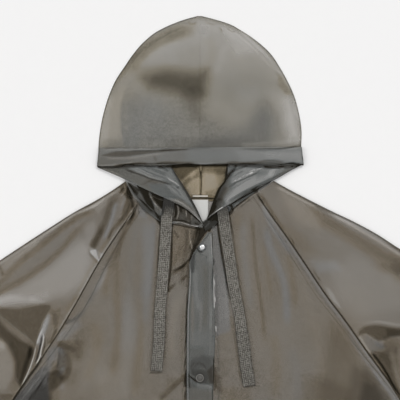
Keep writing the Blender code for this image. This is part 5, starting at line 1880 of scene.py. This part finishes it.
RIGHT_LAPEL_UNDER_MARKS: Marks = (
    # painted shade in the wedge by the neck, and painted shadow under the free edge and round the eyelet
    spot(1.5, .88, -.1, 3, -34, 15.5, -25, 29.5, -13.5, 37, -9.5, 34, -21.5, 29.5, -37, 20, -40.5,
         18.5, -44.5, 14, -49, 6, -51),
    spot(1.4, .4, .2, 11, -31, 18.5, -25, 27.5, -17, 30, -18.5, 28.5, -34, 23, -31, 18.5, -32.5),
    fold(1.3, -.46, 0, .4, 8, -43.5, 11, -39, 15, -35.5),
    fold(1.2, -.34, 0, .4, 12, -35, 21, -27.5),
    spot(2, .34, -.2, 37, -11, 96, 21, 90, 9, 71, -3, 51, -19, 34, -29),
    line(2, 1, 0, 45.5, -8, 74.5, 9, 87, 15.5, 99, 22.5, 111.5, 28.5, fade=(0, 0)),
    line(4, 1, 0, 80, 15, 88, 15, 87, 9),
    fold(1.4, .62, 0, -.4, 83.5, 10, 62, -5, 52.5, -12.5),
    fold(1.3, -.42, 0, .4, 60.5, -3.5, 52.5, -10),
    line(1.6, -.16, 0, 78, 6, 68, 1),
    line(2.4, 1.1, .1, 45, -6.5, 49.5, -9.5, 50, -14, 48, -18.5, 44, -21),
    line(1.2, -.8, 0, 42.5, -10, 46, -11.5),
)

LAPEL_UNDER_MARKS = {Side.LEFT: LEFT_LAPEL_UNDER_MARKS, Side.RIGHT: RIGHT_LAPEL_UNDER_MARKS}

HOOD_BACK_MARKS: Marks = (
    SHADOW_UNDER_CASING,
    # centre-back seam
    fold(2, .82, .6, .3, 1, 45, 2, 31, 1, 3, fade=(.05, 0)),
    fold(2, .45, .6, .3, -1, 57, -1, 50, 1, 40, fade=(0, .2)),
    line(1.8, .4, .6, 5, 56, 2, 40, fade=(0, .2)),
    fold(2, -.12, .5, .4, 5, 40, 6, 28, 5, 5, fade=(.1, 0)),
    line(2, -.08, .5, -2, 40, -3, 25, -2, 6, fade=(.2, 0)),
    # folds that fan out to the left
    spot(2.2, .68, .7, -49.5, 59, -3, 59, -3, 50.5, -12, 44, -20, 39, -29.5, 30, -40.5, 43.5),
    fold(1.8, -.06, .5, .8, -2, 47, -19, 36, -28, 28, fade=(.1, 0)),
    swell(2.6, .3, .6, -.5, -28, 26, -19, 33, -2, 41, -5, 35, -16, 28, -23, 18, -26, 20),
    line(3, .26, .6, -27, 23, -21, 16, -15, 6),
    spot(5, .04, .2, -16, 25, -3, 33, -2, 9, -12, 9),
    spot(3, .24, .5, -8, 51, 6, 51, 6, 34, -6, 34),
    spot(2.6, .24, .6, -28, 36, -17, 41, -14, 31, -25, 23),
    # darker along the top and down the right
    spot(3.8, .4, .9, 3, 57, 43, 57, 42, 40, 34, 39, 20, 42, 5, 43),
    spot(4.4, .24, .9, 22, 50, 40, 50, 38, 34, 29, 25),
    spot(5, -.06, 0, 6, 43, 22, 43, 25, 31, 16, 12, 8, 16),
    line(3.4, .42, .7, 40, 50, 39, 36, 30, 20, 21, 2),
    spot(2.4, .22, .7, 9, 14, 23, 17, 19, 2, 9, 2),
    # neck seam
    line(2.4, 1, 0, -31, 2.5, 0, 3, 25, 2, fade=(0, 0)),
    line(1.6, .3, .5, -28, 7, 0, 8, 22, 7),
    spot(2, .14, .6, 11, 2, 22, 2, 16, -19, 8, -34, 5, -34),
)


# ---------------- hood

TURN_ROW_STEP = 1.15


@dataclass
class Hood:
    """The hood: its two back halves, crown, casing and turned-out sides."""

    back_cut: tuple[float, float] = (0.160, 0.285)
    crown_cut: tuple[float, float] = (0.315, 0.207)
    casing_cut: tuple[float, float] = (0.320, 0.062)
    side_cut: tuple[float, float] = (0.215, 0.150)
    outline_z: float = 0.62
    crown_inset: float = 0.3
    crown_warmth: float = 0.6
    casing_fold: float = 0.5
    casing_puff: float = 1.1
    # painted shade of each free edge (a painted highlight where it is negative), past the row of TURNS where
    # it changes from dark
    edge_shades: ClassVar[dict[Side, float]] = {Side.LEFT: -0.16, Side.RIGHT: 0.20}
    edge_turns: ClassVar[dict[Side, int]] = {Side.LEFT: 3, Side.RIGHT: 7}

    @staticmethod
    def outline(y: np.ndarray) -> tuple[np.ndarray, np.ndarray]:
        """Return the left and right x of the hood's outline at each height."""
        table = np.array(HOOD_SLICES)
        straight = steady(table[:, 0], table[:, 1:], y)
        round_part = table[table[:, 0] >= ROUND_FROM_Y]
        curved = glide(round_part[:, 0], round_part[:, 1:], np.maximum(y, ROUND_FROM_Y))
        found = np.where((y > ROUND_FROM_Y)[:, None], curved, straight)
        return found[:, 0], found[:, 1]

    def back_half(self, side: Side) -> Cloth:
        """Return half of the hood's back, flat on the board, lapped over at the centre."""
        y = graded(((-2.0, 1.2), (30, 1.5), (60, 1.6), (90, 4.0), (240, 4.0), (275, 1.4), (285.5, .5)))
        ends = self.outline(np.maximum(y, HOOD_SLICES[0][0]))[0 if side is Side.LEFT else 1]
        share = graded(((0, .010), (.25, .014), (.35, .03), (.94, .03), (1, .01)))
        start = -0.6 * side.outward
        x = mix(start, ends[:, None], share[None, :])
        places = level_rows(x, y)
        finish = Finish.plain(x.shape, shade=0.02)
        finish.warmth += 0.3 - 0.45 * smooth((y - 56.0) / 8.0)[:, None]
        finish.add(HOOD_BACK_MARKS, places)
        finish.shade += 0.3 * fading(np.abs(ends[:, None] - x), 2.5)
        heights = GROUND_Z + np.zeros(x.shape) + 0.45 * smooth((14.0 - y) / 6.0)[:, None]
        if side is Side.RIGHT:
            heights += LAP * fading(np.abs(x - start), 3.0)
        return Cloth(f"hood_back_{side.value}", stacked(places, heights), finish, Stuff.LINING, "film")

    def crown(self) -> Cloth:
        """Return the hood's upper layer, from under the casing's edge to the peak."""
        y = graded(((78.0, 1.2), (90, 1.9), (235, 1.9), (268, 1.1), (285.3, .5)))
        left, right = self.outline(y)
        left, right = left + self.crown_inset, right - self.crown_inset
        share = graded(((0, .0025), (.01, .0035), (.05, .0065), (.95, .0065), (.99, .0035), (1, .0025)))
        x = mix(left[:, None], right[:, None], share[None, :])
        places = level_rows(x, y)
        inside = np.minimum(x - left[:, None], right[:, None] - x)
        slope = np.gradient(left, y)
        lean = 1.0 / np.sqrt(1.0 + np.minimum(np.abs(slope), 40.0) ** 2)
        below_peak = (y[-1] - y)[:, None]
        inside = np.minimum(inside * lean[:, None], np.where(below_peak < 12, below_peak + 0.4, 99.0))
        heights = mix(self.outline_z, CROWN_Z, smooth(inside / 26.0) * 0.6 + smooth(inside / 6.0) * 0.4)
        under_casing = smooth((84.0 - y) / 3.0)[:, None]
        heights = mix(heights, np.minimum(heights, CASING_Z - 0.75), under_casing)
        finish = Finish.plain(x.shape)
        finish.add(CROWN_MARKS, places)
        finish.warmth = 0.05 + self.crown_warmth * finish.warmth
        finish.lift *= smooth(inside / 14.0)
        finish.shade += np.where(x > 0.0, 0.58, 0.80) * fading(inside, 1.9)
        # painted light: the crown grows paler towards its peak
        finish.shade -= 0.30 * smooth((y - 150.0) / 110.0)[:, None] * smooth(inside / 10.0) + 0.03
        return Cloth("hood_crown", stacked(places, heights), finish, Stuff.CROWN, "film")

    def casing(self) -> Cloth:
        """Return the doubled band across the hood's opening, folded along its lower edge."""
        lower = np.array(CASING_LOWER_EDGE)
        x = graded(((-159.6, .6), (-150, 1.5), (150, 1.5), (160.7, .6)))
        bottom = glide(lower[:, 0], lower[:, 1], x)[None, :]
        top = CASING_TOP_Y + 0.8 * np.sin(x / 60.0)[None, :]
        half = self.casing_fold
        drop = np.array((0.0, .12, .25, .4, .55, .7, .82, .9, .95, .98, 1.0))[:, None]
        bend = np.linspace(-math.pi / 2, math.pi / 2, 7)[1:-1, None]
        rise = graded(((0, .03), (.1, .05), (.9, .05), (1, .03)))[:, None]
        y = np.concatenate((mix(top, bottom + half, drop), bottom + half - half * np.cos(bend),
                            mix(bottom + half, top, rise)))
        edge = np.minimum(x - x[0], x[-1] - x)[None, :]
        puff = np.sin(np.pi * np.clip(rise, 0, 1)) ** 0.7 * self.casing_puff
        fold_z = CASING_Z + half * np.sin(bend)
        heights = np.concatenate((np.full((len(drop), len(x)), CASING_Z - half),
                                  np.broadcast_to(fold_z, (len(bend), len(x))),
                                  CASING_Z + half + puff * smooth(edge / 14.0)))
        taper = 1.0 - 0.019 * (y - bottom) / (CASING_TOP_Y - 52.0)
        places = np.stack((x[None, :] * taper, y), axis=2)
        finish = Finish.plain(y.shape, shade=-0.06, warmth=-0.1)
        front = np.zeros(y.shape, bool)
        front[len(drop):] = True
        finish.add(CASING_MARKS, places, front)
        finish.lift[len(drop):] *= smooth(edge / 14.0)
        rims = 0.85 * fading(edge, 1.9) + 0.80 * fading(np.abs(y - bottom), 1.5)
        finish.shade[len(drop):] += rims[len(drop):]
        return Cloth("hood_casing", stacked(places, heights), finish, Stuff.EDGE, "casing")

    def turned_side(self, side: Side) -> Cloth:
        """Return a side of the hood: neck edge, rolled fold, and free edge turned outwards."""
        table = np.array(TURNS[side])
        knots = (travelled(table[:, 2:4]) + travelled(table[:, 4:6])) / 2
        at = graded(((0, 3.0), (knots[1] * 0.8, TURN_ROW_STEP), (knots[-1], TURN_ROW_STEP)))
        bent = at >= knots[1]
        neck, roll, edge = (
            np.vstack([steady(knots[:2], table[:2, column:column + 2], at[~bent]),
                       glide(knots[1:], table[1:, column:column + 2], at[bent])])
            for column in (0, 2, 4)
        )
        under_z, neck_z, edge_z, radius = (
            steady(knots, table[:, column], at)[:, None] for column in (6, 7, 8, 9)
        )
        inward = units(roll - (neck + edge) / 2)
        centre = roll - inward * (radius + FILM_MM / 2)
        under = graded(((0, .014), (.06, .017), (1, .017)))[:-1]
        over = graded(((0, .017), (.94, .017), (.985, .008), (1, .006)))[1:]
        above = spread(centre, edge, over)
        places = np.concatenate((spread(neck, centre, under), rolled(centre, inward, radius), above), axis=1)
        below_z = mix(neck_z, under_z, smooth(under * 1.5)[None, :])
        bend_z = under_z + radius * (1.0 + np.sin(BEND))[None, :]
        above_z = mix(under_z + 2 * radius, edge_z, smooth(over)[None, :])
        finish = Finish.plain(places.shape[:2], warmth=-0.3)
        bend = slice(len(under), len(under) + len(BEND))
        upper = np.zeros(places.shape[:2], bool)
        upper[:, len(under) + len(BEND) // 2:] = True
        finish.add(LAPEL_TOP_MARKS[side], places, upper)
        finish.add(LAPEL_UNDER_MARKS[side], places, ~upper)
        rim = mix(0.95, self.edge_shades[side], smooth((at - knots[self.edge_turns[side]]) / 14.0))
        finish.shade[:, bend.stop:] += rim[:, None] * fading(distances(above, edge), 2.6)
        finish.shade[:, bend] += 0.80
        finish.lift[:, bend] = 0.0
        grid = stacked(places, np.concatenate((below_z, bend_z, above_z), axis=1))
        return Cloth(f"hood_side_{side.value}", grid, finish, Stuff.EDGE, "casing")

    def build(self) -> None:
        """Build every piece of the hood."""
        for side in Side:
            half = self.back_half(side)
            half.build()
            turn = self.turned_side(side)
            turn.build()
        crown = self.crown()
        crown.build()
        casing = self.casing()
        casing.build()


# ---------------- neck fittings


@dataclass
class NeckFittings:
    """The label and its hanger tape at the back neck, and the drawcord's eyelet."""

    label_span: tuple[float, float] = (-14.6, 12.9)
    label_height: float = 34.0
    tape_span: tuple[float, float] = (-11.3, 12.4)
    tape_y: float = 6.0
    tape_height: float = 2.2
    slip_z: float = 1.3
    eyelet: tuple[float, float] = (43.2, -13.2)
    eyelet_seat: float = 5.4
    eyelet_shade: float = 0.97

    def slip(self, name: str, span: tuple[float, float], middle_y: float, height: float,
             stuff: Stuff) -> Cloth:
        """Return a small flat slip of cloth.

        Args:
            name: its name, which is also its node's.
            span: its left and right x.
            middle_y: its middle height on the coat.
            height: its height on the coat.
            stuff: what it is made of.

        Returns:
            The slip as a sheet.
        """
        x = np.linspace(span[0], span[1], 25)
        y = middle_y + np.linspace(-0.5, 0.5, 31) * height
        grid = np.stack((*np.meshgrid(x, y), np.full((len(y), len(x)), self.slip_z)), axis=2)
        finish = Finish.plain(grid.shape[:2])
        edge_x = np.minimum(grid[:, :, 0] - span[0], span[1] - grid[:, :, 0])
        edge_y = np.minimum(grid[:, :, 1] - y[0], y[-1] - grid[:, :, 1])
        finish.shade += 0.35 * fading(np.minimum(edge_x, edge_y), 0.8)
        finish.lift += 0.35 * np.sin(grid[:, :, 0] / 6.0) ** 2 * smooth(edge_y / 4.0)
        return Cloth(name, grid, finish, stuff, "label", thickness=0.3)

    def build(self) -> None:
        """Build the label, the tape and the eyelet."""
        tape = self.slip("hanger_tape", self.tape_span, self.tape_y, self.tape_height, Stuff.TAPE)
        tape_piece = tape.build()
        label = self.slip("label", self.label_span, LABEL_MIDDLE[1], self.label_height, Stuff.LABEL)
        label.finish.shade += 0.12 * smooth((label.places[:, :, 1] + 6.0) / 8.0)
        label.build()
        profile = ((1.7, 0.0), (3.5, 0.0), (3.75, 0.25), (3.6, 0.75), (3.0, 1.1), (2.3, 1.05), (1.75, 0.7))
        ring = turned("cord_eyelet_ring", profile, self.eyelet, self.eyelet_seat, 36)
        store(ring.data, "shade", np.full(len(ring.data.vertices), self.eyelet_shade))
        register(ring, Stuff.BRIGHT, ["cord_eyelet"])


# ---------------- drawcords


@dataclass
class Drawcord:
    """The free end of a flat woven drawcord, its tip folded under and stitched."""

    side: Side
    width: float = 17.5
    thickness: float = 1.2
    neck_y: float = -30.0
    front_y: float = -56.0
    fold_length: float = 84.0
    clearance: float = 0.5
    row_step: float = 1.6
    across: ClassVar[np.ndarray] = np.linspace(-1.0, 1.0, 15)

    def strip(self, route: np.ndarray, lift: np.ndarray, sideways: float = 0.0) -> np.ndarray:
        """Set out the points of a strip along a route.

        Args:
            route: x and y along it.
            lift: extra height along it.
            sideways: how far the strip lies to the route's left, seen along it.

        Returns:
            Rows of points.
        """
        along = units(np.gradient(route, axis=0))
        across = np.stack((-along[:, 1], along[:, 0]), axis=1)
        reach = self.across * self.width / 2 + sideways
        places = route[:, None, :] + across[:, None, :] * reach[None, :, None]
        ground = Front(self.side).surface(places).lift
        middle = len(self.across) // 2
        ground = np.maximum(ground, (ground[:, middle:middle + 1] + ground) / 2)
        resting = ground + (self.thickness + FILM_MM) / 2 + self.clearance
        share = smooth((self.neck_y - places[:, :, 1]) / (self.neck_y - self.front_y))
        return stacked(places, mix(CORDS[self.side].neck_z, resting, share) + lift[:, None])

    def build(self) -> None:
        lie = CORDS[self.side]
        points = np.array(lie.route)
        knots = travelled(points)
        route = glide(knots, points, np.linspace(0.0, knots[-1], int(knots[-1] / self.row_step)))
        length = travelled(route)
        before_tip = length[-1] - self.fold_length - length
        places = self.strip(route, 1.1 * smooth(0.5 - before_tip / 8.0))
        finish = Finish.plain(places.shape[:2], shade=lie.shade)
        edge = np.abs(self.across)[None, :]
        finish.shade += 0.14 * smooth((edge - 0.8) / 0.2)
        finish.shade += lie.neck_shade * fading(length - lie.shaded_length, 26.0)[:, None]
        beside = smooth((-self.across - 0.45) / 0.4)[None, :]
        finish.shade += lie.side_shade * fading(length - 29.0, 8.0)[:, None] * beside
        # painted shadow at the edges and across where the folded-under tip begins
        finish.shade += 0.8 * fading(np.abs(before_tip), 5.0)[:, None] * smooth((edge - 0.72) / 0.25)
        finish.shade += 0.22 * fading(np.abs(before_tip), 1.6)[:, None]
        finish.shade += 0.4 * fading(length[-1] - length, 1.6)[:, None]
        finish.shade += 0.20 * smooth((length - 130.0) / 120.0)[:, None]
        finish.shade[before_tip < 0.0] += lie.tip_shade
        name = f"drawcord_{self.side.value}"
        cord = Cloth(name, places, finish, Stuff.WEBBING, "webbing", thickness=self.thickness).build()
        tip = route[before_tip < 0]
        under = self.strip(tip, np.full(len(tip), -0.15), lie.tip_turn)
        shade = Finish.plain(under.shape[:2], shade=0.25)
        doubled = Cloth(f"{name}_fold", under, shade, Stuff.WEBBING, "webbing", name, thickness=0.9)
        doubled.build()


# ---------------- all of it


def main() -> None:
    """Set up the studio, then build the cords, the neck, the body and the hood."""
    logging.basicConfig(level=logging.INFO, format="%(message)s")
    Studio().build()
    for side in Side:
        Drawcord(side).build()
    NeckFittings().build()
    Body().build()
    Hood().build()


if __name__ == "__main__":
    main()
